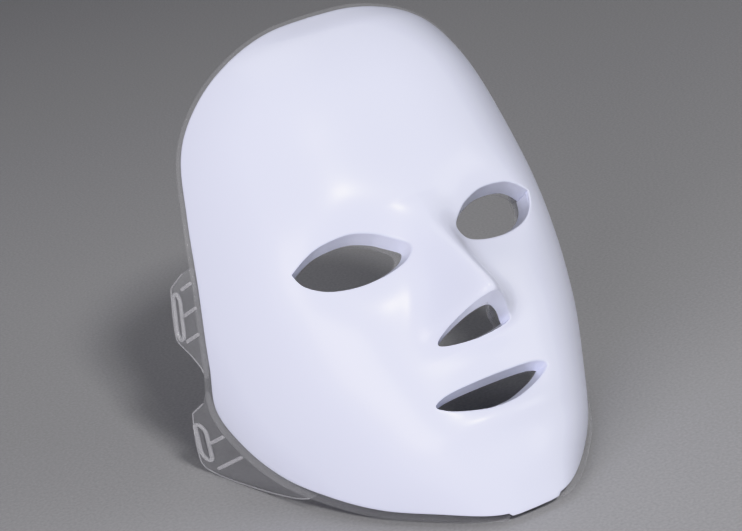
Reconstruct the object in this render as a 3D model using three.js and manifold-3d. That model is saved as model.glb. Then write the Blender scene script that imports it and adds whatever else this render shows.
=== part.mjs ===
// LED face mask: an opaque outer face shell snapped over a clear inner shell with four strap
// tabs, with curved LED boards screwed to posts between the two and a power socket at the chin.
//
// The mask is drawn in its own face frame, in millimetres: +X to the right as seen from the
// front, +Y towards the forehead, +Z out of the face. The finished group is then turned about X
// to the way the mask stands by itself, on its chin and its two lower strap tabs, leaning back.

import * as THREE from 'three';
import { mergeVertices } from 'three/addons/utils/BufferGeometryUtils.js';
import Module from 'manifold-3d';

const wasm = await Module();
wasm.setup();

// ---------------------------------------------------------------- driving dimensions

// Angle between the face's own up direction and the vertical as the mask stands.
const LEAN_BACK = THREE.MathUtils.degToRad(37.7);

// Midline height of the face, as [y, z].
const MIDLINE = [[-126, 47], [-118, 50.5], [-108, 54.3], [-92, 59.4], [-70, 63.1], [-40, 66.6],
  [-10, 72], [20, 75.4], [50, 74.9], [80, 73.1], [103, 64.7], [120, 51.5]];
// Half width of the whole face surface, as [y, x].
const HALF_WIDTH = [[-126, 43], [-118, 47], [-95, 64.6], [-70, 76.3], [-40, 87.7], [0, 94.6],
  [40, 95.4], [75, 92.6], [100, 86.5], [120, 78]];
// Side view of the trimmed edge, from the chin to the forehead, as (y, z).
const TRIM = [[-123.3, 48.5], [-111, 35.5], [-98, 19], [-81.6, 2], [-64, -13], [-42.5, -20.5],
  [-22, -22], [-4, -6], [23.5, 11], [56, 23], [86, 32.5], [109, 50.5], [118.5, 53]];
const SURFACE_BASE_Z = -25;
const SECTION_POWER = 3.06;
const SECTION_ROUNDNESS = 1.44;

const OUTER_WALL = 2;
const SHELL_GAP = 8;
const INNER_WALL = 2;
const INNER_FRONT = OUTER_WALL + SHELL_GAP;
const INNER_BACK = INNER_FRONT + INNER_WALL;
const RIM_GAP = 0.6;
// How far the clear rim shows outside the outer shell, as [y, mm].
const CLEAR_RIM = [[-126, 1.6], [-100, 2.2], [-60, 2.6], [-20, 2.2], [20, 1.6], [80, 0.8], [120, 0.5]];

// Return walls round the openings, which end just above the clear shell.
const FLANGE_DEPTH = INNER_FRONT - 0.9;
const FLANGE_WALL = 1.8;
// How much smaller the clear shell's openings are on each side.
const LIP_INSET = 2;

const EYE_UPPER = [[12.2, -1.6], [13.4, 0.6], [17.5, 4.6], [23.5, 9], [33.5, 12.6], [46.5, 12.8], [54, 10.8],
  [60.6, 7.4]];
const EYE_LOWER = [[60.6, 7.4], [57.8, 0.5], [50, -6], [38.5, -9.4], [26, -9.6], [16.5, -7.6], [12.7, -4.4],
  [12.2, -1.6]];
const MOUTH_HALF = [[0, -66.6], [16, -66.8], [24, -67.6], [28.2, -69.6], [25.5, -72.4], [19, -75.6],
  [8, -78.9], [0, -79.6]];
const NOSTRIL_HALF = [[0, -39.5], [6, -39.7], [12, -41.4], [16.5, -43.8], [18.2, -46], [15.5, -47.6],
  [8, -48.9], [0, -49.5]];

// Nose: ridge height above the face, and where it fades out under the tip, as [y, mm].
const NOSE_HEIGHT = [[-52, 0], [-49, 3], [-45, 16], [-41.5, 30], [-38, 34], [-33, 32.5], [-20, 22.5],
  [-5, 11], [6, 4], [18, 0]];
const NOSE_RIDGE_WIDTH = [[-50, 11], [-36, 10.5], [-20, 8.5], [0, 9], [18, 11]];
const NOSE_WING_WIDTH = [[-50, 18.5], [-36, 17.5], [-20, 13.5], [0, 12], [18, 13]];
const NOSE_WING_SHARE = [[-50, 0.42], [-36, 0.4], [-20, 0.35], [0, 0.4], [18, 0.5]];
const WING_ROUNDNESS = 3;
const WING_SWELL = 2.2;

const GRID_ROWS = 28;
const GRID_COLUMNS = 11;
// Above 1, the grid's columns stand closer together over the nose.
const COLUMN_BIAS = 1.4;

const TAB_WALL = 2.2;
const TAB_FLARE = 0.1;
const SLOT_LENGTH = 20;
const SLOT_WIDTH = 5.4;
// Raised ribs, and the raised border round each slot.
const TAB_RIB = { width: 1.6, height: 0.8, tilt: 0.13 };
const SLOT_BORDER = 1.7;
const SLOT_END_STEPS = 4;
// How far down the clear rim's wall a tab's root starts, as a share of that wall.
const TAB_ROOT_SHARE = 0.6;
const TAB_ROOT_STEPS = 8;

const BOARD_FRONT = 4.6;
const BOARD_BACK = 5.8;
const BOARD_CELL = 9;
const LED_SIZE = 3.5;
const LED_HEIGHT = 1.5;
const SCREW_HEAD_RADIUS = 1.9;
const SCREW_CROWN_RADIUS = 1.2;
const SCREW_HEAD_HEIGHT = 1.1;
const SCREW_HEAD_EDGE = 0.5;
const SCREW_SHANK_RADIUS = 0.65;
const SCREW_SHANK_LENGTH = 3.2;
const SCREW_HOLE_RADIUS = 0.95;
const POST_RADIUS = 2.3;
const POST_CLEARANCE = 0.6;
const POST_HOLE_START = 1.4;

const SOCKET_RADIUS = 3;
const SOCKET_LENGTH = 12;
const SOCKET_BORE_RADIUS = 2.1;
const SOCKET_BORE_DEPTH = 8;
const SOCKET_PIN_RADIUS = 0.6;
const SOCKET_PIN_LENGTH = 6.5;
const SOCKET_INSET = OUTER_WALL + SHELL_GAP / 2;
const SKIRT_HALF_WIDTH = 13;
const SKIRT_DROP = 1.6;
const JUMPER_WIDTH = 5;
const JUMPER_THICKNESS = 0.5;
const JUMPER_STEPS = 5;
const LEAD_RADIUS = 1.1;

// How far joined shapes reach into each other, and how far a face stays under the one it joins.
const BURY = 0.5;
const SKIN = 0.2;
// Height range that holds the whole face, for cutters along Z.
const CUT_LOW = -20;
const CUT_HIGH = 140;

// ---------------------------------------------------------------- materials

const whitePlastic = new THREE.MeshStandardMaterial({ color: 0xe4e7f4, roughness: 0.3 });
const clearPlastic = new THREE.MeshStandardMaterial({
  color: 0xe8eef2, roughness: 0.12, transparent: true, opacity: 0.35,
});
const boardWhite = new THREE.MeshStandardMaterial({ color: 0xf0f0ec, roughness: 0.6 });
const screwSteel = new THREE.MeshStandardMaterial({ color: 0xb8b8ba, roughness: 0.3, metalness: 1 });
const socketBlack = new THREE.MeshStandardMaterial({ color: 0x1c1c1e, roughness: 0.5 });
const pinBrass = new THREE.MeshStandardMaterial({ color: 0xd6c08a, roughness: 0.25, metalness: 1 });
const ribbonGrey = new THREE.MeshStandardMaterial({ color: 0xd2d4d8, roughness: 0.55 });
const leadRed = new THREE.MeshStandardMaterial({ color: 0xa02622, roughness: 0.5 });

// ---------------------------------------------------------------- face surface

// Value at t of a smooth curve through [position, value] stations.
function station(stations, t) {
  const last = stations.length - 1;
  const x = Math.min(Math.max(t, stations[0][0]), stations[last][0]);
  let i = 0;
  while (i < last - 1 && x > stations[i + 1][0]) {
    i += 1;
  }
  const slope = (k) => {
    const a = stations[Math.max(k - 1, 0)];
    const b = stations[Math.min(k + 1, last)];
    return (b[1] - a[1]) / (b[0] - a[0]);
  };
  const [x0, y0] = stations[i];
  const [x1, y1] = stations[i + 1];
  const span = x1 - x0;
  const s = (x - x0) / span;
  const s2 = s * s;
  const s3 = s2 * s;
  return (2 * s3 - 3 * s2 + 1) * y0 + (s3 - 2 * s2 + s) * span * slope(i)
    + (3 * s2 - 2 * s3) * y1 + (s3 - s2) * span * slope(i + 1);
}

// A rounded bump of unit height at (cx, cy).
function bump(x, y, cx, cy, wx, wy) {
  return Math.exp(-(((x - cx) / wx) ** 2) - ((y - cy) / wy) ** 2);
}

// Face without its nose: superellipse sections under the midline, then eye hollows, lips and chin.
function faceHeight(x, y) {
  const side = Math.abs(x);
  const u = Math.min(side / station(HALF_WIDTH, y), 1);
  const crown = station(MIDLINE, y) - SURFACE_BASE_Z;
  const section = Math.max(1 - u ** SECTION_POWER, 1e-9) ** (1 / SECTION_ROUNDNESS);
  return SURFACE_BASE_Z + crown * section
    - 8 * bump(side, y, 33, 2, 22, 17)
    + 2 * bump(side, y, 0, -59, 16, 8)
    + 4 * bump(side, y, 0, -84, 24, 7)
    + 3 * bump(side, y, 0, -106, 22, 12);
}

// Nose height above the face, on a surface that lies `depth` inside the outer one.
function noseHeight(x, y, depth) {
  const height = station(NOSE_HEIGHT, y);
  const ridge = station(NOSE_RIDGE_WIDTH, y) * (1 - 0.03 * depth);
  const wing = station(NOSE_WING_WIDTH, y) - 0.5 * depth;
  const share = station(NOSE_WING_SHARE, y);
  const section = (1 - share) * Math.exp(-((x / ridge) ** 2))
    + share * Math.exp(-(Math.abs(x / wing) ** WING_ROUNDNESS));
  return height * section + WING_SWELL * bump(Math.abs(x), y, 13.5, -40, 5.5, 6);
}

function faceNormal(x, y) {
  const step = 0.05;
  const dx = (faceHeight(x + step, y) - faceHeight(x - step, y)) / (2 * step);
  const dy = (faceHeight(x, y + step) - faceHeight(x, y - step)) / (2 * step);
  return new THREE.Vector3(-dx, -dy, 1).normalize();
}

// Point of the surface that lies `depth` inside the outer face, under (x, y) of the outer face.
function facePoint(x, y, depth) {
  const point = new THREE.Vector3(x, y, faceHeight(x, y));
  point.addScaledVector(faceNormal(x, y), -depth);
  point.z += noseHeight(point.x, point.y, depth);
  return point;
}

// Half width of the face where its surface comes down to height z.
function trimHalfWidth(y, z) {
  let low = 0;
  let high = station(HALF_WIDTH, y);
  for (let i = 0; i < 40; i += 1) {
    const middle = (low + high) / 2;
    if (faceHeight(middle, y) > z) {
      low = middle;
    } else {
      high = middle;
    }
  }
  return low;
}

// Points spread along a fine polyline, evenly or, with a bias above 1, closer at its start.
function spread(fine, count, bias = 1) {
  const lengths = [0];
  for (let i = 1; i < fine.length; i += 1) {
    lengths.push(lengths[i - 1] + fine[i].distanceTo(fine[i - 1]));
  }
  const total = lengths[lengths.length - 1];
  const points = [];
  let k = 0;
  for (let i = 0; i <= count; i += 1) {
    const target = total * (i / count) ** bias;
    while (k < fine.length - 2 && lengths[k + 1] < target) {
      k += 1;
    }
    const share = (target - lengths[k]) / Math.max(lengths[k + 1] - lengths[k], 1e-9);
    points.push(fine[k].clone().lerp(fine[k + 1], share));
  }
  return points;
}

// The right half of the trimmed edge, from the middle of the chin to the middle of the forehead.
function trimStations() {
  const sideView = new THREE.SplineCurve(TRIM.map(([y, z]) => new THREE.Vector2(y, z)));
  const fine = sideView.getPoints(240).map(({ x: y, y: z }, i, all) => {
    const width = i === 0 || i === all.length - 1 ? 0 : trimHalfWidth(y, z);
    return new THREE.Vector3(width, y, z);
  });
  return spread(fine, GRID_ROWS);
}

// x positions from the middle to the edge of one row, evenly spaced along the section.
function rowWidths(width, y) {
  const fine = [];
  for (let i = 0; i <= 120; i += 1) {
    const x = width * Math.sin((Math.PI / 2) * (i / 120));
    fine.push(new THREE.Vector3(x, 0, faceHeight(x, y)));
  }
  return spread(fine, GRID_COLUMNS, COLUMN_BIAS).map((point) => point.x);
}

const trim = trimStations();

// Rows of [x, y] over the trimmed face; the first and last row are single points.
const rows = trim.map(({ x: width, y }, i) => {
  if (i === 0 || i === trim.length - 1) {
    return [[0, y]];
  }
  const half = rowWidths(width, y);
  const left = half.slice(1).reverse().map((x) => [-x, y]);
  return [...left, ...half.map((x) => [x, y])];
});

// The edge as a closed loop of { point, normal, away }; away leads off the surface past the edge.
function edgeFrames() {
  const right = trim.map((p) => [p.x, p.y]);
  const left = trim.slice(1, -1).reverse().map((p) => [-p.x, p.y]);
  const loop = [...right, ...left];
  const points = loop.map(([x, y]) => facePoint(x, y, 0));
  return loop.map(([x, y], i) => {
    const before = points[(i + points.length - 1) % points.length];
    const after = points[(i + 1) % points.length];
    const along = after.clone().sub(before).normalize();
    const normal = faceNormal(x, y);
    return { point: points[i], normal, away: along.cross(normal).normalize() };
  });
}

const edge = edgeFrames();

function edgeLoop(outward, past) {
  return edge.map(({ point, normal, away }) => point.clone()
    .addScaledVector(normal, typeof outward === 'function' ? outward(point.y) : outward)
    .addScaledVector(away, past));
}

// ---------------------------------------------------------------- solids

function geometryFrom(vertices, triangles) {
  const geometry = new THREE.BufferGeometry();
  const coordinates = vertices.flatMap((v) => v.toArray());
  geometry.setAttribute('position', new THREE.Float32BufferAttribute(coordinates, 3));
  geometry.setIndex(triangles.flat());
  return geometry;
}

// Closed solid between two surfaces of the face, with extra loops round its edge between them.
function shellGeometry(frontDepth, backDepth, past, loops) {
  const vertices = [];
  const triangles = [];
  const loopIndex = (grid) => {
    const middleRows = grid.slice(1, -1);
    const right = middleRows.map((row) => row[row.length - 1]);
    const left = middleRows.map((row) => row[0]).reverse();
    return [grid[0][0], ...right, grid[grid.length - 1][0], ...left];
  };
  const addSurface = (depth, flip, shift) => {
    const grid = rows.map((row) => row.map(([x, y]) => vertices.push(facePoint(x, y, depth)) - 1));
    loopIndex(grid).forEach((index, i) => vertices[index].addScaledVector(edge[i].away, shift));
    const face = (a, b, c) => triangles.push(flip ? [a, c, b] : [a, b, c]);
    for (let j = 0; j < grid.length - 1; j += 1) {
      const low = grid[j];
      const high = grid[j + 1];
      const wide = Math.max(low.length, high.length);
      for (let i = 0; i < wide - 1; i += 1) {
        if (low.length > 1) {
          face(low[i], low[i + 1], high[Math.min(i + 1, high.length - 1)]);
        }
        if (high.length > 1) {
          face(low[Math.min(i, low.length - 1)], high[i + 1], high[i]);
        }
      }
    }
    return loopIndex(grid);
  };
  const front = addSurface(frontDepth, false, past[0]);
  const middle = loops.map((loop) => loop.map((point) => vertices.push(point) - 1));
  const back = addSurface(backDepth, true, past[1]);
  const chain = [front, ...middle, back];
  for (let k = 0; k < chain.length - 1; k += 1) {
    chain[k].forEach((a, i) => {
      const next = (i + 1) % chain[k].length;
      triangles.push([a, chain[k + 1][i], chain[k + 1][next]]);
      triangles.push([a, chain[k + 1][next], chain[k][next]]);
    });
  }
  return geometryFrom(vertices, triangles);
}

function toSolid(geometry) {
  const bare = geometry.clone();
  bare.deleteAttribute('normal');
  bare.deleteAttribute('uv');
  const merged = mergeVertices(bare, 1e-5);
  return new wasm.Manifold(new wasm.Mesh({
    numProp: 3,
    vertProperties: new Float32Array(merged.attributes.position.array),
    triVerts: new Uint32Array(merged.index.array),
  }));
}

function fromSolid(solid) {
  const mesh = solid.getMesh();
  const geometry = new THREE.BufferGeometry();
  geometry.setAttribute('position', new THREE.BufferAttribute(new Float32Array(mesh.vertProperties), 3));
  geometry.setIndex(new THREE.BufferAttribute(new Uint32Array(mesh.triVerts), 1));
  return geometry;
}

// Mirror image across the face's middle plane, with its faces still pointing out.
function mirrored(geometry) {
  const copy = mergeVertices(geometry.clone());
  copy.scale(-1, 1, 1);
  const index = copy.index.array;
  for (let i = 0; i < index.length; i += 3) {
    [index[i + 1], index[i + 2]] = [index[i + 2], index[i + 1]];
  }
  return copy;
}

// Solid drawn along +Z that stands under (x, y) of the face at `depth`, pointing at the wearer.
function standingIn(geometry, x, y, depth) {
  return toSolid(stood(geometry, facePoint(x, y, depth), faceNormal(x, y).negate()));
}

// Turns a geometry drawn along +Z so that it stands on `origin` along `direction`.
function stood(geometry, origin, direction) {
  const up = new THREE.Vector3(0, 0, 1);
  geometry.applyQuaternion(new THREE.Quaternion().setFromUnitVectors(up, direction));
  return geometry.translate(origin.x, origin.y, origin.z);
}

function cylinder(radius, length, sides) {
  return new THREE.CylinderGeometry(radius, radius, length, sides)
    .rotateX(Math.PI / 2)
    .translate(0, 0, length / 2);
}

// Solid of revolution about +Z from [radius, height] pairs.
function lathed(profile, sides) {
  const points = profile.map(([r, h]) => new THREE.Vector2(r, h));
  return new THREE.LatheGeometry(points, sides).rotateX(Math.PI / 2);
}

// ---------------------------------------------------------------- openings

function smooth(points, divisions) {
  return new THREE.SplineCurve(points.map(([x, y]) => new THREE.Vector2(x, y))).getPoints(divisions);
}

function eyeOutline(side) {
  const upper = smooth(EYE_UPPER, 9);
  const lower = smooth(EYE_LOWER, 10);
  return [...upper, ...lower.slice(1, -1)].map((p) => new THREE.Vector2(side * p.x, p.y));
}

function mirroredOutline(half, divisions) {
  const right = smooth(half, divisions);
  const left = right.slice(1, -1).reverse().map((p) => new THREE.Vector2(-p.x, p.y));
  return [...right, ...left];
}

// Moves an outline outwards by `distance`.
function grown(outline, distance) {
  const turn = THREE.ShapeUtils.isClockWise(outline) ? -1 : 1;
  return outline.map((point, i) => {
    const before = outline[(i + outline.length - 1) % outline.length];
    const after = outline[(i + 1) % outline.length];
    const along = after.clone().sub(before).normalize();
    const step = distance * turn;
    return new THREE.Vector2(point.x + along.y * step, point.y - along.x * step);
  });
}

// The outline made smaller about its middle, by `inset` on each of its four sides.
function shrunk(outline, inset) {
  const box = new THREE.Box2().setFromPoints(outline);
  const middle = box.getCenter(new THREE.Vector2());
  const size = box.getSize(new THREE.Vector2());
  const scale = new THREE.Vector2((size.x - 2 * inset) / size.x, (size.y - 2 * inset) / size.y);
  return outline.map((point) => point.clone().sub(middle).multiply(scale).add(middle));
}

function prism(outline) {
  const options = { depth: CUT_HIGH - CUT_LOW, bevelEnabled: false };
  return toSolid(new THREE.ExtrudeGeometry(new THREE.Shape(outline), options).translate(0, 0, CUT_LOW));
}

const openings = [
  eyeOutline(-1),
  eyeOutline(1),
  mirroredOutline(MOUTH_HALF, 10),
  mirroredOutline(NOSTRIL_HALF, 10),
];

// ---------------------------------------------------------------- boards

// Each board covers x between its sides and y between its ends on the face.
const BOARDS = [
  { name: 'forehead_board', x: [-50, 50], y: [64, 96], leds: [6, 2], screws: [[-43, 80], [43, 80]] },
  { name: 'nose_bridge_board', x: [-11, 11], y: [24, 52], leds: [2, 2], screws: [[0, 31], [0, 45]] },
  { name: 'left_temple_board', x: [-80, -62], y: [14, 58], leds: [2, 3], screws: [[-71, 27], [-71, 45]] },
  { name: 'right_temple_board', x: [62, 80], y: [14, 58], leds: [2, 3], screws: [[71, 27], [71, 45]] },
  { name: 'left_cheek_board', x: [-70, -30], y: [-56, -22], leds: [4, 3], screws: [[-58, -39], [-37, -39]] },
  { name: 'right_cheek_board', x: [30, 70], y: [-56, -22], leds: [4, 3], screws: [[37, -39], [58, -39]] },
  { name: 'chin_board', x: [-28, 28], y: [-106, -90], leds: [4, 2], screws: [[-24, -98], [24, -98]] },
];

// Closed slab under the face: place(u, v) gives the [x, y] of each grid point, u and v from 0 to 1.
function patchSlab(columns, lines, place, frontDepth, backDepth) {
  const vertices = [];
  const triangles = [];
  const layer = (depth) => {
    const first = vertices.length;
    for (let j = 0; j <= lines; j += 1) {
      for (let i = 0; i <= columns; i += 1) {
        const [x, y] = place(i / columns, j / lines);
        vertices.push(facePoint(x, y, depth));
      }
    }
    return (i, j) => first + j * (columns + 1) + i;
  };
  const front = layer(frontDepth);
  const back = layer(backDepth);
  for (let j = 0; j < lines; j += 1) {
    for (let i = 0; i < columns; i += 1) {
      triangles.push([front(i, j), front(i + 1, j), front(i + 1, j + 1)]);
      triangles.push([front(i, j), front(i + 1, j + 1), front(i, j + 1)]);
      triangles.push([back(i, j), back(i + 1, j + 1), back(i + 1, j)]);
      triangles.push([back(i, j), back(i, j + 1), back(i + 1, j + 1)]);
    }
  }
  const wall = (i0, j0, i1, j1) => {
    triangles.push([front(i0, j0), back(i0, j0), back(i1, j1)]);
    triangles.push([front(i0, j0), back(i1, j1), front(i1, j1)]);
  };
  for (let i = 0; i < columns; i += 1) {
    wall(i, 0, i + 1, 0);
    wall(i + 1, lines, i, lines);
  }
  for (let j = 0; j < lines; j += 1) {
    wall(columns, j, columns, j + 1);
    wall(0, j + 1, 0, j);
  }
  return geometryFrom(vertices, triangles);
}

function boardSlab({ x, y }) {
  const columns = Math.round((x[1] - x[0]) / BOARD_CELL);
  const lines = Math.round((y[1] - y[0]) / BOARD_CELL);
  const place = (u, v) => [THREE.MathUtils.lerp(x[0], x[1], u), THREE.MathUtils.lerp(y[0], y[1], v)];
  return toSolid(patchSlab(columns, lines, place, BOARD_FRONT, BOARD_BACK));
}

function ledPlaces(board) {
  const [across, up] = board.leds;
  const places = [];
  for (let j = 0; j < up; j += 1) {
    for (let i = 0; i < across; i += 1) {
      const x = THREE.MathUtils.lerp(board.x[0], board.x[1], (i + 0.5) / across);
      const y = THREE.MathUtils.lerp(board.y[0], board.y[1], (j + 0.5) / up);
      const room = SCREW_HEAD_RADIUS + LED_SIZE;
      if (board.screws.every(([sx, sy]) => Math.hypot(sx - x, sy - y) > room)) {
        places.push([x, y]);
      }
    }
  }
  return places;
}

// Curved board with its LED packages on the side towards the wearer and its screw holes.
function makeBoard(board) {
  let solid = boardSlab(board);
  ledPlaces(board).forEach(([x, y]) => {
    const height = LED_HEIGHT + BURY;
    const led = new THREE.BoxGeometry(LED_SIZE, LED_SIZE, height).translate(0, 0, height / 2);
    solid = solid.add(standingIn(led, x, y, BOARD_BACK - BURY));
  });
  board.screws.forEach(([x, y]) => {
    const length = 3 * SCREW_SHANK_LENGTH;
    const hole = cylinder(SCREW_HOLE_RADIUS, length, 8);
    solid = solid.subtract(standingIn(hole, x, y, BOARD_FRONT - length / 2));
  });
  return fromSolid(solid);
}

// Pan-head screw through a board, into a blind hole in its post.
function makeScrew([x, y]) {
  const seat = SCREW_SHANK_LENGTH;
  const top = seat + SCREW_HEAD_HEIGHT;
  const profile = [[0, 0], [SCREW_SHANK_RADIUS, 0], [SCREW_SHANK_RADIUS, seat], [SCREW_HEAD_RADIUS, seat],
    [SCREW_HEAD_RADIUS, seat + SCREW_HEAD_EDGE], [SCREW_CROWN_RADIUS, top], [0, top]];
  const place = facePoint(x, y, BOARD_BACK + POST_CLEARANCE - seat);
  return stood(lathed(profile, 10), place, faceNormal(x, y).negate());
}

// ---------------------------------------------------------------- strap tabs

// The right-hand trimmed edge at height y.
function rimPoint(y) {
  const spot = trim.findIndex((p) => p.y > y);
  const [a, b] = [trim[spot - 1], trim[spot]];
  return a.clone().lerp(b, (y - a.y) / (b.y - a.y));
}

// Side views of the two right-hand tabs: `free` is the free edge as [y, z] from the chin side up,
// and each rib is [y, z, length].
const TABS = [
  {
    root: [-8, 36],
    free: [[-2.2, -11.8], [6.1, -17.6], [15, -25.7], [19.2, -25.9], [27.7, -20.6], [36.3, -13.3],
      [36.9, -9.4], [37.4, 4.6]],
    slot: { centre: [23.7, -14], angle: 0.6 },
    ribs: [[10.8, -7.4, 15], [20.8, 0, 14.2], [31, 5.6, 11.6]],
  },
  {
    root: [-77, -13],
    free: [[-73.1, -16.7], [-68.4, -25.6], [-59.2, -40.2], [-45.5, -59], [-36.7, -68], [-32, -68.1],
      [-23.8, -57], [-15.3, -41.8], [-15.2, -26.3]],
    slot: { centre: [-27.4, -51.2], angle: 0.925 },
    ribs: [[-42, -44.4, 27], [-30.9, -38.4, 14]],
  },
];

// Long round-ended outline, `margin` larger all round than the slot itself.
function slotOutline({ centre, angle }, margin) {
  const reach = (SLOT_LENGTH - SLOT_WIDTH) / 2;
  const radius = SLOT_WIDTH / 2 + margin;
  const outline = [];
  for (const end of [1, -1]) {
    for (let i = 0; i <= SLOT_END_STEPS; i += 1) {
      const turn = angle + Math.PI * (i / SLOT_END_STEPS - end / 2);
      outline.push(new THREE.Vector2(
        centre[0] + end * reach * Math.cos(angle) + radius * Math.cos(turn),
        centre[1] + end * reach * Math.sin(angle) + radius * Math.sin(turn),
      ));
    }
  }
  return outline;
}

function plateSolid(outline, from, to) {
  const options = { depth: to - from, bevelEnabled: false };
  return toSolid(new THREE.ExtrudeGeometry(new THREE.Shape(outline), options).translate(0, 0, from));
}

// Flat plate drawn as (y, z, thickness), with its ribs, its slot and the raised border round it.
function flatTab(tab) {
  const root = [];
  for (let i = 0; i <= TAB_ROOT_STEPS; i += 1) {
    const y = THREE.MathUtils.lerp(tab.root[1], tab.root[0], i / TAB_ROOT_STEPS);
    root.push(new THREE.Vector2(y, rimPoint(y).z - RIM_GAP - INNER_WALL * TAB_ROOT_SHARE));
  }
  const free = tab.free.map(([y, z]) => new THREE.Vector2(y, z));
  const raised = TAB_WALL + TAB_RIB.height;
  const ribHeight = TAB_RIB.height + BURY;
  const ribs = tab.ribs.map(([y, z, length]) => toSolid(
    new THREE.BoxGeometry(TAB_RIB.width, length, ribHeight)
      .rotateZ(TAB_RIB.tilt)
      .translate(y, z, raised - ribHeight / 2),
  ));
  return ribs.reduce((sum, rib) => sum.add(rib), plateSolid([...root, ...free], 0, TAB_WALL))
    .add(plateSolid(slotOutline(tab.slot, SLOT_BORDER), TAB_WALL - BURY, raised))
    .subtract(plateSolid(slotOutline(tab.slot, 0), -TAB_WALL, 2 * raised));
}

// A tab stands in a plane through both ends of its root, and leans outwards as it leaves the rim.
function makeTab(tab) {
  const [low, high] = tab.root.map(rimPoint);
  const slope = (high.x - low.x + TAB_FLARE * (high.z - low.z)) / (high.y - low.y);
  const base = low.x + station(CLEAR_RIM, low.y) - TAB_WALL;
  const geometry = fromSolid(flatTab(tab));
  const position = geometry.attributes.position;
  for (let i = 0; i < position.count; i += 1) {
    const [y, z, thick] = [position.getX(i), position.getY(i), position.getZ(i)];
    const x = base + thick + slope * (y - low.y) - TAB_FLARE * (z - low.z);
    position.setXYZ(i, x, y, z);
  }
  return geometry;
}

// ---------------------------------------------------------------- outer shell

const chinFrame = edge[0];

// Point at the middle of the chin: to the right, into the mask and past the edge.
function chinPlace(across, inward, past) {
  return chinFrame.point.clone()
    .addScaledVector(chinFrame.normal, -inward)
    .addScaledVector(chinFrame.away, past)
    .add(new THREE.Vector3(across, 0, 0));
}

// A block in the chin edge's own directions, from `inward` and `past` ranges.
function chinBlock(halfWidth, inward, past) {
  const block = new THREE.BoxGeometry(2 * halfWidth, inward[1] - inward[0], past[1] - past[0]);
  const middle = chinPlace(0, (inward[0] + inward[1]) / 2, (past[0] + past[1]) / 2);
  const right = new THREE.Vector3(1, 0, 0);
  const front = chinFrame.away.clone().cross(right);
  block.applyMatrix4(new THREE.Matrix4().makeBasis(right, front, chinFrame.away));
  return toSolid(block.translate(middle.x, middle.y, middle.z));
}

// Return wall inside one opening, following the face from its surface to FLANGE_DEPTH below it.
function flange(outline, slab) {
  return slab.intersect(prism(grown(outline, FLANGE_WALL)).subtract(prism(outline)));
}

// White shell with its flanged openings, the posts for the boards and the skirt at the chin.
function makeOuterShell() {
  let shell = toSolid(shellGeometry(0, OUTER_WALL, [0, 0], [edgeLoop(-OUTER_WALL / 2, 0)]));
  const slab = toSolid(shellGeometry(SKIN, FLANGE_DEPTH, [0, 0], [edgeLoop(-FLANGE_DEPTH / 2, 0)]));
  openings.forEach((outline) => {
    shell = shell.subtract(prism(outline)).add(flange(outline, slab));
  });
  BOARDS.flatMap((board) => board.screws).forEach(([x, y]) => {
    const start = OUTER_WALL / 2;
    const post = cylinder(POST_RADIUS, BOARD_FRONT - POST_CLEARANCE - start, 8);
    const hole = cylinder(SCREW_HOLE_RADIUS, BOARD_FRONT, 8);
    shell = shell.add(standingIn(post, x, y, start)).subtract(standingIn(hole, x, y, POST_HOLE_START));
  });
  shell = shell.add(chinBlock(SKIRT_HALF_WIDTH, [SKIN, OUTER_WALL - SKIN], [-OUTER_WALL, SKIRT_DROP]));
  return fromSolid(shell);
}

// ---------------------------------------------------------------- inner shell

// Clear shell with its rim, which shows outside the white one, its openings and its four tabs.
function makeInnerShell() {
  const outerRim = (y) => station(CLEAR_RIM, y);
  const rimEnds = [RIM_GAP, RIM_GAP + INNER_WALL];
  const loops = rimEnds.map((past) => edgeLoop(outerRim, past));
  let shell = toSolid(shellGeometry(INNER_FRONT, INNER_BACK, rimEnds, loops));
  openings.forEach((outline) => {
    shell = shell.subtract(prism(shrunk(outline, LIP_INSET)));
  });
  TABS.map(makeTab).forEach((tab) => {
    shell = shell.add(toSolid(tab)).add(toSolid(mirrored(tab)));
  });
  const notchDepth = [-3 * OUTER_WALL, OUTER_WALL + RIM_GAP];
  const notchReach = [-2 * INNER_WALL, 3 * INNER_WALL];
  shell = shell.subtract(chinBlock(SKIRT_HALF_WIDTH + RIM_GAP, notchDepth, notchReach));
  const socketHole = cylinder(SOCKET_RADIUS + RIM_GAP, SOCKET_LENGTH, 16);
  const holeStart = chinPlace(0, SOCKET_INSET, -SOCKET_LENGTH / 2);
  shell = shell.subtract(toSolid(stood(socketHole, holeStart, chinFrame.away)));
  return fromSolid(shell);
}

// ---------------------------------------------------------------- socket and wiring

// The socket's mouth is level with the outside of the clear rim.
const SOCKET_MOUTH = RIM_GAP + INNER_WALL;

function makeSocket() {
  const floor = SOCKET_LENGTH - SOCKET_BORE_DEPTH;
  const profile = [[0, 0], [SOCKET_RADIUS, 0], [SOCKET_RADIUS, SOCKET_LENGTH],
    [SOCKET_BORE_RADIUS, SOCKET_LENGTH], [SOCKET_BORE_RADIUS, floor], [0, floor]];
  const place = chinPlace(0, SOCKET_INSET, SOCKET_MOUTH - SOCKET_LENGTH);
  return stood(lathed(profile, 16), place, chinFrame.away);
}

function makeSocketPin() {
  const place = chinPlace(0, SOCKET_INSET, SOCKET_MOUTH - SOCKET_BORE_DEPTH + RIM_GAP);
  return stood(cylinder(SOCKET_PIN_RADIUS, SOCKET_PIN_LENGTH, 8), place, chinFrame.away);
}

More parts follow.
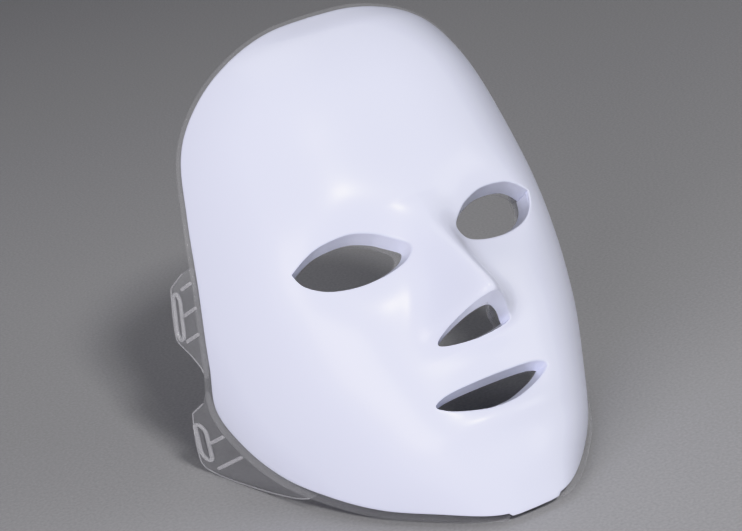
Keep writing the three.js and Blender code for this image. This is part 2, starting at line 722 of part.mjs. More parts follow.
// Flat flexible ribbon from one [x, y] on the face to another, level with the boards.
function makeJumper(from, to) {
  const start = new THREE.Vector2(...from);
  const along = new THREE.Vector2(...to).sub(start);
  const across = new THREE.Vector2(along.y, -along.x).normalize();
  const place = (u, v) => start.clone()
    .addScaledVector(along, v)
    .addScaledVector(across, (u - 0.5) * JUMPER_WIDTH)
    .toArray();
  const depth = (BOARD_FRONT + BOARD_BACK - JUMPER_THICKNESS) / 2;
  return patchSlab(1, JUMPER_STEPS, place, depth, depth + JUMPER_THICKNESS);
}

// Lead from the back of the socket up to the chin board.
function makeLead() {
  const curve = new THREE.CatmullRomCurve3([
    chinPlace(0, SOCKET_INSET, SOCKET_MOUTH - SOCKET_LENGTH - RIM_GAP / 2),
    facePoint(0, -111, 5.4),
    facePoint(0, -108.5, 5.2),
    facePoint(0, -106.4, 5.2),
  ]);
  const section = new THREE.Shape();
  section.absarc(0, 0, LEAD_RADIUS, 0, 2 * Math.PI);
  return new THREE.ExtrudeGeometry(section, { steps: 5, curveSegments: 6, extrudePath: curve });
}

// ---------------------------------------------------------------- assembly

const mask = new THREE.Group();

function add(name, geometry, material) {
  const mesh = new THREE.Mesh(geometry, material);
  mesh.name = name;
  mask.add(mesh);
}

add('outer_shell', makeOuterShell(), whitePlastic);
add('inner_shell', makeInnerShell(), clearPlastic);
let screwNumber = 0;
BOARDS.forEach((board) => {
  add(board.name, makeBoard(board), boardWhite);
  board.screws.forEach((place) => {
    screwNumber += 1;
    add(`board_screw_${String(screwNumber).padStart(2, '0')}`, makeScrew(place), screwSteel);
  });
});
add('power_socket', makeSocket(), socketBlack);
add('socket_pin', makeSocketPin(), pinBrass);

// Ribbons between neighbouring boards, from one [x, y] on the face to the other.
const JUMPERS = [
  ['forehead_bridge_ribbon', [0, 63], [0, 53]],
  ['left_forehead_ribbon', [-53.5, 73], [-68, 61]],
  ['right_forehead_ribbon', [53.5, 73], [68, 61]],
  ['left_temple_ribbon', [-72, 13], [-66, -21]],
  ['right_temple_ribbon', [72, 13], [66, -21]],
  ['left_chin_ribbon', [-48, -57.5], [-32, -94]],
  ['right_chin_ribbon', [48, -57.5], [32, -94]],
];
JUMPERS.forEach(([name, from, to]) => add(name, makeJumper(from, to), ribbonGrey));
add('power_lead', makeLead(), leadRed);

mask.rotation.x = Math.PI / 2 - LEAN_BACK;
mask.updateMatrixWorld(true);
const box = new THREE.Box3().setFromObject(mask, true);
mask.position.set(0, -(box.min.y + box.max.y) / 2, -box.min.z);

export default mask;
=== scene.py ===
"""LED face mask: fine shells, boards, fasteners, materials, light and camera around the CAD frame.

Shapes are drawn in the mask's own face frame, in millimetres: X to the right as seen from the
front, Y towards the forehead, Z out of the face. to_world() turns them into the frame's metres.
"""

import math

import bmesh
import bpy
import numpy as np
from mathutils import Matrix, Vector
from mathutils.geometry import delaunay_2d_cdt


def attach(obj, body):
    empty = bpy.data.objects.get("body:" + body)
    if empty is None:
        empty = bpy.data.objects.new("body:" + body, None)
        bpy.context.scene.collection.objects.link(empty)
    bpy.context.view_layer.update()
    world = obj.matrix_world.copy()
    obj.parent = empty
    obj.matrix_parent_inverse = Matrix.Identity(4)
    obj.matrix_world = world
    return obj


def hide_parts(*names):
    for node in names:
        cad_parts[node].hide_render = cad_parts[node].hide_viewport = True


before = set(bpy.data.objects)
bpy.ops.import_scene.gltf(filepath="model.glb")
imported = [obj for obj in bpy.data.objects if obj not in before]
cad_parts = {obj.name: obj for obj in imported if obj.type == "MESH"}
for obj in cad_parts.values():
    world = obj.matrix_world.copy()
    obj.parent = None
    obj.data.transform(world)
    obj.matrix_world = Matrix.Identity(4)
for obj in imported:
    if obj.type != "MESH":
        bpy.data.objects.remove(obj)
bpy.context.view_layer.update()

# ------------------------------------------------------------------ driving dimensions

LEAN_BACK = math.radians(37.7)

# Stations along the face, as (y, value).
MIDLINE = [(-126, 47), (-118, 50.5), (-108, 54.3), (-92, 59.4), (-70, 63.1), (-40, 66.6), (-10, 72),
           (20, 75.4), (50, 74.9), (80, 73.1), (103, 64.7), (120, 51.5)]
HALF_WIDTH = [(-126, 43), (-118, 47), (-95, 64.6), (-70, 76.3), (-40, 87.7), (0, 94.6), (40, 95.4),
              (75, 92.6), (100, 86.5), (120, 78)]
# Side view of the trimmed edge, from the chin to the forehead, as (y, z).
TRIM = [(-123.3, 48.5), (-111, 35.5), (-98, 19), (-81.6, 2), (-64, -13), (-42.5, -20.5), (-22, -22),
        (-4, -6), (23.5, 11), (56, 23), (86, 32.5), (109, 50.5), (118.5, 53)]
SURFACE_BASE_Z = -25
SECTION_POWER = 3.06
SECTION_ROUNDNESS = 1.44

OUTER_WALL = 2.0
INNER_FRONT = 10.0
INNER_BACK = 12.0
RIM_GAP = 0.35
CLEAR_RIM = [(-126, 1.6), (-100, 2.2), (-60, 2.6), (-20, 2.2), (20, 1.6), (80, 0.8), (120, 0.5)]
FLANGE_CLEARANCE = 0.9
LIP_INSET = (2.6, 0.7)
EDGE_ROLL = 1.1

EYE_UPPER = [(12.2, -1.6), (13.4, 0.6), (17.5, 4.6), (23.5, 9), (33.5, 12.6), (46.5, 12.8), (54, 10.8),
             (60.6, 7.4)]
EYE_LOWER = [(60.6, 7.4), (57.8, 0.5), (50, -6), (38.5, -9.4), (26, -9.6), (16.5, -7.6), (12.7, -4.4),
             (12.2, -1.6)]
MOUTH_HALF = [(0, -66.6), (16, -66.8), (24, -67.6), (28.2, -69.6), (25.5, -72.4), (19, -75.6), (8, -78.9),
              (0, -79.6)]
NOSTRIL_HALF = [(0, -39.5), (6, -39.7), (12, -41.4), (16.5, -43.8), (18.2, -46), (15.5, -47.6),
                (8, -48.9), (0, -49.5)]

NOSE_HEIGHT = [(-52, 0), (-49, 3), (-45, 16), (-41.5, 30), (-38, 34), (-33, 32.5), (-20, 22.5),
               (-5, 11), (6, 4), (18, 0)]
NOSE_RIDGE_WIDTH = [(-50, 11), (-36, 10.5), (-20, 8.5), (0, 9), (18, 11)]
NOSE_WING_WIDTH = [(-50, 18.5), (-36, 17.5), (-20, 13.5), (0, 12), (18, 13)]
NOSE_WING_SHARE = [(-50, 0.42), (-36, 0.4), (-20, 0.35), (0, 0.4), (18, 0.5)]
WING_ROUNDNESS = 3
WING_SWELL = 2.2

# ------------------------------------------------------------------ face surface


def station(points, t):
    """Smooth curve through (position, value) points, as part of the CAD's own definition."""
    xs = np.array([p[0] for p in points], float)
    ys = np.array([p[1] for p in points], float)
    t = np.clip(np.asarray(t, float), xs[0], xs[-1])
    slopes = np.empty(len(xs))
    slopes[1:-1] = (ys[2:] - ys[:-2]) / (xs[2:] - xs[:-2])
    slopes[0] = (ys[1] - ys[0]) / (xs[1] - xs[0])
    slopes[-1] = (ys[-1] - ys[-2]) / (xs[-1] - xs[-2])
    i = np.clip(np.searchsorted(xs, t) - 1, 0, len(xs) - 2)
    span = xs[i + 1] - xs[i]
    s = (t - xs[i]) / span
    s2, s3 = s * s, s * s * s
    return ((2 * s3 - 3 * s2 + 1) * ys[i] + (s3 - 2 * s2 + s) * span * slopes[i]
            + (3 * s2 - 2 * s3) * ys[i + 1] + (s3 - s2) * span * slopes[i + 1])


def bump(x, y, cx, cy, wx, wy):
    return np.exp(-(((x - cx) / wx) ** 2) - ((y - cy) / wy) ** 2)


def face_height(x, y):
    """Face without its nose."""
    side = np.abs(x)
    u = np.minimum(side / station(HALF_WIDTH, y), 1)
    crown = station(MIDLINE, y) - SURFACE_BASE_Z
    section = np.maximum(1 - u ** SECTION_POWER, 1e-9) ** (1 / SECTION_ROUNDNESS)
    return (SURFACE_BASE_Z + crown * section
            - 8 * bump(side, y, 33, 2, 22, 17)
            + 2 * bump(side, y, 0, -59, 16, 8)
            + 4 * bump(side, y, 0, -84, 24, 7)
            + 3 * bump(side, y, 0, -106, 22, 12))


def nose_height(x, y, depth):
    ridge = station(NOSE_RIDGE_WIDTH, y) * (1 - 0.03 * depth)
    wing = station(NOSE_WING_WIDTH, y) - 0.5 * depth
    share = station(NOSE_WING_SHARE, y)
    section = (1 - share) * np.exp(-((x / ridge) ** 2))
    section = section + share * np.exp(-(np.abs(x / wing) ** WING_ROUNDNESS))
    return station(NOSE_HEIGHT, y) * section + WING_SWELL * bump(np.abs(x), y, 13.5, -40, 5.5, 6)


def face_normal(x, y):
    step = 0.05
    dx = (face_height(x + step, y) - face_height(x - step, y)) / (2 * step)
    dy = (face_height(x, y + step) - face_height(x, y - step)) / (2 * step)
    normal = np.stack([-dx, -dy, np.ones_like(dx)], -1)
    return normal / np.linalg.norm(normal, axis=-1, keepdims=True)


def face_point(x, y, depth):
    """Point of the surface that lies depth inside the outer face, under (x, y)."""
    x = np.asarray(x, float)
    y = np.asarray(y, float)
    base = np.stack([x, y, face_height(x, y)], -1)
    point = base - face_normal(x, y) * np.asarray(depth, float)[..., None]
    point[..., 2] += nose_height(point[..., 0], point[..., 1], depth)
    return point


def surface_normal(x, y, depth):
    """Normal of the whole surface, nose included."""
    step = 0.1
    du = face_point(x + step, y, depth) - face_point(x - step, y, depth)
    dv = face_point(x, y + step, depth) - face_point(x, y - step, depth)
    normal = np.cross(du, dv)
    return normal / np.linalg.norm(normal, axis=-1, keepdims=True)


def to_world_matrix():
    """Face frame in millimetres to the frame's metres, seated in the CAD's own box."""
    turn = Matrix.Rotation(math.pi / 2 - LEAN_BACK, 4, "X")
    return Matrix.Translation(SEAT) @ Matrix.Scale(0.001, 4) @ turn


# Where the face frame's origin stands in the frame, in metres.
SEAT = Vector((0, 0.039235, 0.072378))
WORLD = to_world_matrix()

# ------------------------------------------------------------------ outlines and the flattened face


def smooth(points, step):
    """Uniform Catmull-Rom curve through points, sampled about every step millimetres."""
    p = np.array(points, float)
    ends = np.vstack([2 * p[0] - p[1], p, 2 * p[-1] - p[-2]])
    ends[0] = p[0]
    ends[-1] = p[-1]
    samples = []
    for i in range(len(p) - 1):
        a, b, c, d = ends[i], ends[i + 1], ends[i + 2], ends[i + 3]
        count = max(2, int(round(np.linalg.norm(c - b) / step)))
        t = (np.arange(count) / count)[:, None]
        samples.append(b + t * (c - a) / 2 + t ** 2 * (2 * a - 5 * b + 4 * c - d) / 2
                       + t ** 3 * (3 * b - a - 3 * c + d) / 2)
    samples.append(p[-1:])
    return np.vstack(samples)


def spread(points, step):
    """The same polyline with evenly spaced points."""
    gaps = np.linalg.norm(np.diff(points, axis=0), axis=1)
    length = np.concatenate([[0], np.cumsum(gaps)])
    count = max(2, int(round(length[-1] / step)))
    at = np.linspace(0, length[-1], count + 1)
    return np.stack([np.interp(at, length, points[:, k]) for k in range(points.shape[1])], -1)


def mirror_outline(half):
    left = half[1:-1][::-1] * [-1, 1]
    return np.vstack([half, left])


# The flattened face: s is the distance from the midline along a section at constant y.
ARC_STEP = 0.5
ARC_Y = np.arange(-126, 120.01, 1.0)
ARC_S = np.arange(0, 180, ARC_STEP)


def build_arc_table():
    turn = np.linspace(0, math.pi / 2, 400)
    table = np.empty((len(ARC_Y), len(ARC_S)))
    for row, y in enumerate(ARC_Y):
        x = station(HALF_WIDTH, y) * np.sin(turn)
        z = face_height(x, np.full_like(x, y))
        s = np.concatenate([[0], np.cumsum(np.hypot(np.diff(x), np.diff(z)))])
        table[row] = np.interp(ARC_S, s, x)
    return table


ARC_TABLE = build_arc_table()


def x_of(s, y):
    """x of the flattened point (s, y)."""
    side = np.abs(s)
    row = np.clip((y - ARC_Y[0]) / (ARC_Y[1] - ARC_Y[0]), 0, len(ARC_Y) - 1.001)
    col = np.clip(side / ARC_STEP, 0, len(ARC_S) - 1.001)
    i, j = row.astype(int), col.astype(int)
    fi, fj = row - i, col - j
    x = ((1 - fi) * ((1 - fj) * ARC_TABLE[i, j] + fj * ARC_TABLE[i, j + 1])
         + fi * ((1 - fj) * ARC_TABLE[i + 1, j] + fj * ARC_TABLE[i + 1, j + 1]))
    return np.sign(s) * x


def flatten(outline):
    """An outline in (x, y) as (s, y)."""
    flat = np.array(outline, float)
    for k, (x, y) in enumerate(outline):
        fine = abs(x) * np.sin(np.linspace(0, math.pi / 2, 300)) if abs(x) > 0 else np.zeros(2)
        z = face_height(fine, np.full_like(fine, y))
        flat[k, 0] = math.copysign(np.hypot(np.diff(fine), np.diff(z)).sum(), x)
    return flat


def signed_area(outline):
    x, y = outline[:, 0], outline[:, 1]
    return 0.5 * np.sum(x * np.roll(y, -1) - np.roll(x, -1) * y)


def grown(outline, distance):
    """The outline moved outwards by distance, or inwards where it is negative."""
    along = np.roll(outline, -1, axis=0) - np.roll(outline, 1, axis=0)
    along /= np.linalg.norm(along, axis=1, keepdims=True)
    out = np.stack([along[:, 1], -along[:, 0]], -1) * math.copysign(1, signed_area(outline))
    return outline + out * distance


def shrunk(outline, inset):
    """The outline made smaller about its middle, by inset in x and y on each side."""
    low, high = outline.min(0), outline.max(0)
    middle = (low + high) / 2
    return middle + (outline - middle) * (high - low - 2 * np.array(inset)) / (high - low)


def above(outline, depth):
    """The outline on the outer face whose points come to lie over the given one at a depth."""
    x, y = outline[:, 0].copy(), outline[:, 1].copy()
    for _ in range(12):
        shift = face_normal(x, y)[:, :2] * depth
        x = 0.5 * x + 0.5 * (outline[:, 0] + shift[:, 0])
        y = 0.5 * y + 0.5 * (outline[:, 1] + shift[:, 1])
    return np.stack([x, y], -1)


def inside(points, outline):
    """Which points lie inside a closed outline."""
    x, y = points[:, 0:1], points[:, 1:2]
    x0, y0 = outline[:, 0], outline[:, 1]
    x1, y1 = np.roll(x0, -1), np.roll(y0, -1)
    crosses = (y0 > y) != (y1 > y)
    with np.errstate(divide="ignore", invalid="ignore"):
        at = x0 + (y - y0) * (x1 - x0) / (y1 - y0)
    return (np.sum(crosses & (x < at), axis=1) % 2) == 1


def eye_outline(side, step):
    upper = smooth(EYE_UPPER, step)
    lower = smooth(EYE_LOWER, step)
    outline = np.vstack([upper, lower[1:-1]])
    return outline * [side, 1]


def opening_outlines(step):
    return [eye_outline(-1, step), eye_outline(1, step), mirror_outline(smooth(MOUTH_HALF, step)),
            mirror_outline(smooth(NOSTRIL_HALF, step))]


def trim_half_width(y, z):
    low = np.zeros_like(y)
    high = station(HALF_WIDTH, y)
    for _ in range(40):
        middle = (low + high) / 2
        above = face_height(middle, y) > z
        low = np.where(above, middle, low)
        high = np.where(above, high, middle)
    return low


def trim_outline(step):
    """The trimmed edge as a closed outline in (x, y), counter-clockwise from the chin."""
    side = smooth(TRIM, 0.4)
    width = trim_half_width(side[:, 0], side[:, 1])
    width[0] = width[-1] = 0
    line = spread(np.stack([width, side[:, 0], side[:, 1]], -1), step)
    return mirror_outline(line[:, :2])


# ------------------------------------------------------------------ mesh helpers


def mesh_piece(name, points, faces, material, smooth_angle=40):
    """A mesh object from face-frame points; its faces are smooth up to smooth_angle degrees."""
    mesh = bpy.data.meshes.new(name)
    mesh.from_pydata([tuple(p) for p in np.asarray(points, float)], [], faces)
    mesh.transform(WORLD)
    mesh.update()
    piece = bpy.data.objects.new(name, mesh)
    bpy.context.collection.objects.link(piece)
    mesh.materials.append(material)
    if smooth_angle:
        mesh.shade_smooth()
        mesh.set_sharp_from_angle(angle=math.radians(smooth_angle))
    return piece


def strip(low, high):
    """Quads between two closed loops of vertex numbers."""
    count = len(low)
    return [(low[i], low[(i + 1) % count], high[(i + 1) % count], high[i]) for i in range(count)]


def hex_points(low, high, step):
    rows = np.arange(low[1], high[1], step * math.sqrt(3) / 2)
    points = []
    for k, y in enumerate(rows):
        s = np.arange(low[0] + (k % 2) * step / 2, high[0], step)
        points.append(np.stack([s, np.full_like(s, y)], -1))
    return np.vstack(points)


def in_box(points, box):
    (s0, y0), (s1, y1) = box
    return (points[:, 0] > s0) & (points[:, 0] < s1) & (points[:, 1] > y0) & (points[:, 1] < y1)


NOSE_BOX = ((-27, -54), (27, 18))
FEATURE_BOX = ((-72, -92), (72, 26))


def interior_points(rim, holes, coarse, fine, finest):
    """Points over the flattened face, closer together over the features and the nose."""
    low, high = rim.min(0), rim.max(0)
    wide = hex_points(low, high, coarse)
    wide = wide[~in_box(wide, FEATURE_BOX)]
    middle = hex_points(*FEATURE_BOX, fine)
    middle = middle[~in_box(middle, NOSE_BOX)]
    nose = hex_points(*NOSE_BOX, finest)
    kept = []
    for points, step in ((wide, coarse), (middle, fine), (nose, finest)):
        points = points[inside(points, rim)]
        for hole in holes:
            points = points[~inside(points, hole)]
        for loop in [rim, *holes]:
            for chunk in np.array_split(loop, max(1, len(loop) // 100)):
                gap = np.linalg.norm(points[:, None] - chunk[None], axis=2).min(1)
                points = points[gap > 0.62 * step]
        kept.append(points)
    return np.vstack(kept)


def triangulate(rim, holes, inner):
    """Triangles of the flattened face between its rim and its holes, with each loop's numbers."""
    loops = [rim, *holes]
    points = np.vstack([*loops, inner])
    edges = []
    starts = []
    first = 0
    for loop in loops:
        count = len(loop)
        starts.append((first, count))
        edges += [(first + i, first + (i + 1) % count) for i in range(count)]
        first += count
    verts, _, faces, origin, _, _ = delaunay_2d_cdt([Vector(p) for p in points], edges, [], 0, 1e-5)
    flat = np.array([tuple(v) for v in verts])
    number = {}
    for new, olds in enumerate(origin):
        for old in olds:
            number[old] = new
    faces = np.array(faces)
    centre = flat[faces].mean(1)
    keep = inside(centre, rim)
    for hole in holes:
        keep &= ~inside(centre, hole)
    kept = [tuple(int(i) for i in f) for f in faces[keep]]
    loop_numbers = [[number[start + i] for i in range(count)] for start, count in starts]
    return flat, kept, loop_numbers


class Shell:
    """Two triangulated skins of the face and the loops that join them along their edges."""

    def __init__(self, rim, holes, depths, steps):
        inner = interior_points(rim, holes, *steps)
        self.flat, self.faces, self.loops = triangulate(rim, holes, inner)
        x = x_of(self.flat[:, 0], self.flat[:, 1])
        self.xy = np.stack([x, self.flat[:, 1]], -1)
        front = face_point(x, self.flat[:, 1], depths[0])
        back = face_point(x, self.flat[:, 1], depths[1])
        self.count = len(front)
        self.points = [front, back]
        self.total = 2 * self.count
        self.polygons = list(self.faces) + [tuple(i + self.count for i in reversed(f)) for f in self.faces]

    def loop_points(self, k, layer=0):
        return self.points[layer][self.loops[k]]

    def close(self, k, sections):
        """Joins loop k of the front skin to the back skin through the given loops of points."""
        numbers = [self.loops[k]]
        for section in sections:
            self.points.append(section)
            numbers.append(list(range(self.total, self.total + len(section))))
            self.total += len(section)
        numbers.append([i + self.count for i in self.loops[k]])
        rim_loop = k == 0
        for low, high in zip(numbers, numbers[1:]):
            quads = strip(low, high)
            forward = rim_loop == (signed_area(self.flat[self.loops[k]]) > 0)
            self.polygons += [tuple(reversed(q)) for q in quads] if forward else quads

    def piece(self, name, material, smooth_angle=50):
        return mesh_piece(name, np.vstack(self.points), self.polygons, material, smooth_angle)


def unit(v):
    return v / np.linalg.norm(v, axis=-1, keepdims=True)


def edge_frame(outline):
    """Points, normals and away directions along the trimmed edge."""
    points = face_point(outline[:, 0], outline[:, 1], 0)
    normal = face_normal(outline[:, 0], outline[:, 1])
    along = unit(np.roll(points, -1, axis=0) - np.roll(points, 1, axis=0))
    return points, normal, unit(np.cross(along, normal))


def quarter(steps):
    return [math.pi / 2 * k / steps for k in range(1, steps + 1)]


# ------------------------------------------------------------------ outer shell

CHIN_SKIRT_HALF = 13.0
CHIN_SKIRT_DROP = 1.3
FLANGE_WALL = 1.7
FLANGE_TAPER = 1.6
ROLL_STEPS = 5


def near_chin(points, half_width):
    """1 within half_width of the middle of the chin edge and 0 elsewhere."""
    return ((np.abs(points[:, 0]) < half_width) & (points[:, 1] < -100)).astype(float)


def rim_section(frame_at, out, past):
    points, normal, away = frame_at
    out = np.broadcast_to(out, (len(points),))[:, None]
    past = np.broadcast_to(past, (len(points),))[:, None]
    return points + normal * out + away * past


def flange_sections(shell, k):
    """Rolled edge and return wall round one opening, ending clear of the inner shell."""
    start = shell.loop_points(k)
    xy = shell.xy[shell.loops[k]]
    normal = surface_normal(xy[:, 0], xy[:, 1], 0.0)
    along = unit(np.roll(start, -1, axis=0) - np.roll(start, 1, axis=0))
    inward = unit(np.cross(normal, along)) * math.copysign(1, signed_area(xy))
    level = unit(inward * [1, 1, 0.0])
    down = np.array([0, 0, -1.0])
    tilt = face_normal(xy[:, 0], xy[:, 1])[:, 2]
    base_drop = start[:, 2] - face_height(xy[:, 0], xy[:, 1])
    depth = (INNER_FRONT - FLANGE_CLEARANCE) / np.maximum(tilt, 0.6) + np.maximum(base_drop, 0) * 0.15
    depth = depth[:, None]
    roll = EDGE_ROLL
    corner = start + inward * roll
    sections = []
    for t in np.linspace(0, 1, ROLL_STEPS + 1)[1:]:
        low = start + (corner - start) * t
        high = corner + down * roll * t
        sections.append(low + (high - low) * t)
    top = sections[-1]
    for t in (0.35, 0.7, 1.0):
        sections.append(top + down * (depth - roll) * t + level * FLANGE_TAPER * t)
    end = sections[-1]
    sections.append(end + down * 0.35 - level * 0.35)
    sections.append(end + down * 0.35 - level * (FLANGE_WALL - 0.4))
    sections.append(end - level * FLANGE_WALL)
    return sections


def make_outer_shell(material):
    trim = trim_outline(1.5)
    rim_flat = flatten(trim)
    outlines = [flatten(o) for o in opening_outlines(0.9)]
    shell = Shell(grown(rim_flat, -EDGE_ROLL), [grown(o, EDGE_ROLL) for o in outlines],
                  (0.0, OUTER_WALL), (2.2, 1.4, 0.8))
    at = edge_frame(trim)
    drop = near_chin(at[0], CHIN_SKIRT_HALF) * CHIN_SKIRT_DROP
    roll = EDGE_ROLL * 0.7
    sections = [rim_section(at, -roll + roll * math.cos(a), -roll + roll * math.sin(a) + drop)
                for a in quarter(4)]
    sections.append(rim_section(at, -OUTER_WALL + 0.4, drop))
    sections.append(rim_section(at, -OUTER_WALL, -0.4 + drop))
    shell.close(0, sections)
    for k in range(1, 5):
        shell.close(k, flange_sections(shell, k))
    return shell.piece("face_shell", material)


# ------------------------------------------------------------------ inner shell

CLEAR_WALL = INNER_BACK - INNER_FRONT


def make_inner_shell(material):
    trim = trim_outline(1.8)
    outlines = [flatten(above(shrunk(o, LIP_INSET), (INNER_FRONT + INNER_BACK) / 2))
                for o in opening_outlines(1.2)]
    shell = Shell(grown(flatten(trim), -1.6), outlines, (INNER_FRONT, INNER_BACK), (3.2, 2.2, 1.4))
    at = edge_frame(trim)
    out = station(CLEAR_RIM, at[0][:, 1])
    notch = near_chin(at[0], CHIN_SKIRT_HALF + 0.4)
    out = out * (1 - notch) + (-OUTER_WALL - 0.4) * notch
    top, low = RIM_GAP, RIM_GAP + CLEAR_WALL
    sections = [rim_section(at, -INNER_FRONT + 0.1, -0.4), rim_section(at, -INNER_FRONT + 0.6, top - 0.15),
                rim_section(at, -INNER_FRONT + 1.4, top)]
    sections += [rim_section(at, out - 0.8 + 0.8 * math.sin(a), top + 0.8 - 0.8 * math.cos(a))
                 for a in [0, *quarter(4)]]
    sections += [rim_section(at, out - 0.8 + 0.8 * math.cos(a), low - 0.8 + 0.8 * math.sin(a))
                 for a in quarter(4)]
    sections += [rim_section(at, -INNER_BACK + 1.0, low), rim_section(at, -INNER_BACK + 0.3, low - 0.3),
                 rim_section(at, -INNER_BACK, low - 1.0)]
    shell.close(0, sections)
    for k in range(1, 5):
        front, back = shell.loop_points(k), shell.loop_points(k, 1)
        through = unit(back - front)
        along = unit(np.roll(front, -1, axis=0) - np.roll(front, 1, axis=0))
        xy = shell.xy[shell.loops[k]]
        inward = unit(np.cross(-through, along)) * math.copysign(1, signed_area(xy))
        middle = 0.7
        sections = [front + inward * middle * math.sin(a) + through * middle * (1 - math.cos(a))
                    for a in quarter(3)]
        sections += [back + inward * middle * math.cos(a) - through * middle * (1 - math.sin(a))
                     for a in [0, *quarter(3)[:-1]]]
        shell.close(k, sections)
    return shell.piece("clear_shell", material)


# ------------------------------------------------------------------ plates, lathes and tubes


def circle(radius, count, centre=(0, 0)):
    turn = 2 * np.pi * np.arange(count) / count
    return np.stack([np.cos(turn), np.sin(turn)], -1) * radius + np.array(centre, float)


def rounded_box(low, high, radius, steps=5):
    """Rounded rectangle, counter-clockwise."""
    low, high = np.array(low, float), np.array(high, float)
    outline = []
    for k, (sx, sy) in enumerate([(1, 0), (1, 1), (0, 1), (0, 0)]):
        corner = np.array([high[0] - radius if sx else low[0] + radius,
                           high[1] - radius if sy else low[1] + radius])
        start = -math.pi / 2 + k * math.pi / 2
        for a in np.linspace(start, start + math.pi / 2, steps + 1):
            outline.append(corner + radius * np.array([math.cos(a), math.sin(a)]))
    return np.array(outline)


def counter_clockwise(outline):
    return outline if signed_area(outline) > 0 else outline[::-1]


def plate(rim, holes, low, high, roll, spacing):
    """Closed plate with rolled edges over an outline with holes, from w = low to high.

    Returns its points and polygons.
    """
    loops = [counter_clockwise(rim)] + [counter_clockwise(h) for h in holes]
    signs = [-1] + [1] * len(holes)
    base = [grown(loop, sign * roll) for loop, sign in zip(loops, signs)]
    span_low, span_high = base[0].min(0), base[0].max(0)
    inner = hex_points(span_low, span_high, spacing)
    inner = inner[inside(inner, base[0])]
    for hole in base[1:]:
        inner = inner[~inside(inner, hole)]
    for loop in base:
        gap = np.linalg.norm(inner[:, None] - loop[None], axis=2).min(1)
        inner = inner[gap > 0.5 * spacing]
    flat, faces, numbers = triangulate(base[0], base[1:], inner)
    count = len(flat)
    points = [np.column_stack([flat, np.full(count, w)]) for w in (high, low)]
    polygons = list(faces) + [tuple(i + count for i in reversed(f)) for f in faces]
    total = 2 * count
    arc = [0, *quarter(3)]
    profile = [(roll - roll * math.sin(a), high - roll + roll * math.cos(a)) for a in arc[1:]]
    profile += [(roll - roll * math.cos(a), low + roll - roll * math.sin(a)) for a in arc[:-1]]
    for k, (loop, sign) in enumerate(zip(loops, signs)):
        chain = [numbers[k]]
        for inset, w in profile:
            section = grown(loop, sign * inset)
            points.append(np.column_stack([section, np.full(len(section), w)]))
            chain.append(list(range(total, total + len(section))))
            total += len(section)
        chain.append([i + count for i in numbers[k]])
        for a, b in zip(chain, chain[1:]):
            polygons += strip(a, b) if k else [tuple(reversed(q)) for q in strip(a, b)]
    return np.vstack(points), polygons


def lathe(profile, count):
    """Solid of revolution about w from (radius, w) pairs that start and end on the axis."""
    points = [(0, 0, profile[0][1])]
    rings = []
    for radius, w in profile[1:-1]:
        rings.append(list(range(len(points), len(points) + count)))
        points += [(x, y, w) for x, y in circle(radius, count)]
    points.append((0, 0, profile[-1][1]))
    first, last = rings[0], rings[-1]
    polygons = [(0, first[(i + 1) % count], first[i]) for i in range(count)]
    for a, b in zip(rings, rings[1:]):
        polygons += strip(a, b)
    end = len(points) - 1
    polygons += [(last[i], last[(i + 1) % count], end) for i in range(count)]
    return np.array(points, float), polygons


def tube(path, radius, count=12):
    """Closed round tube along a path of points."""
    path = np.array(path, float)
    along = unit(np.gradient(path, axis=0))
    side = unit(np.cross(along, [0.3, 0.1, 1.0]))
    other = np.cross(along, side)
    points = []
    rings = []
    for centre, a, b in zip(path, side, other):
        rings.append(list(range(len(points), len(points) + count)))
        points += [centre + radius * (a * x + b * y) for x, y in circle(1, count)]
    polygons = [tuple(reversed(rings[0])), tuple(rings[-1])]
    for a, b in zip(rings, rings[1:]):
        polygons += strip(a, b)
    return np.array(points), polygons


class Builder:
    """Collects bodies of several materials into one piece."""

    def __init__(self):
        self.points = []
        self.polygons = []
        self.slots = []
        self.total = 0

    def add(self, body, place=None, slot=0):
        points, polygons = body
        points = place(points) if place else points
        self.points.append(points)
        self.polygons += [tuple(i + self.total for i in p) for p in polygons]
        self.slots += [slot] * len(polygons)
        self.total += len(points)

    def piece(self, name, *materials, smooth_angle=35):
        piece = mesh_piece(name, np.vstack(self.points), self.polygons, materials[0], smooth_angle)
        for material in materials[1:]:
            piece.data.materials.append(material)
        piece.data.polygons.foreach_set("material_index", self.slots)
        point_outwards(piece)
        return piece


def point_outwards(piece):
    mesh = bmesh.new()
    mesh.from_mesh(piece.data)
    bmesh.ops.recalc_face_normals(mesh, faces=mesh.faces)
    mesh.to_mesh(piece.data)
    mesh.free()


def under(x, y, depth, turn=0.0):
    """Places a body drawn along w under (x, y) of the face at a depth, pointing at the wearer."""
    origin = face_point(x, y, depth)
    inward = -face_normal(np.float64(x), np.float64(y))
    right = unit(np.cross(inward, [0, 1.0, 0]))
    up = np.cross(inward, right)
    c, s = math.cos(turn), math.sin(turn)
    axes = np.array([c * right + s * up, c * up - s * right, inward])
    return lambda points: origin + points @ axes


def combine(piece, others, operation):
    """Boolean of a piece with other pieces, which are used up."""
    for other in others:
        modifier = piece.modifiers.new("combine", "BOOLEAN")
        modifier.operation = operation
        modifier.solver = "MANIFOLD"
        modifier.object = other
    graph = bpy.context.evaluated_depsgraph_get()
    mesh = bpy.data.meshes.new_from_object(piece.evaluated_get(graph))
    piece.modifiers.clear()
    old = piece.data
    piece.data = mesh
    bpy.data.meshes.remove(old)
    mesh.name = piece.name
    for other in others:
        bpy.data.objects.remove(other)
    return piece


# ------------------------------------------------------------------ strap tabs

TAB_WALL = 2.2
TAB_FLARE = 0.1
TAB_ROLL = 0.35
TAB_BEAD = 0.3
SLOT_LENGTH = 20
SLOT_WIDTH = 5.4
SLOT_BORDER = 1.7
RIB_WIDTH = 1.7
RIB_HEIGHT = 0.8
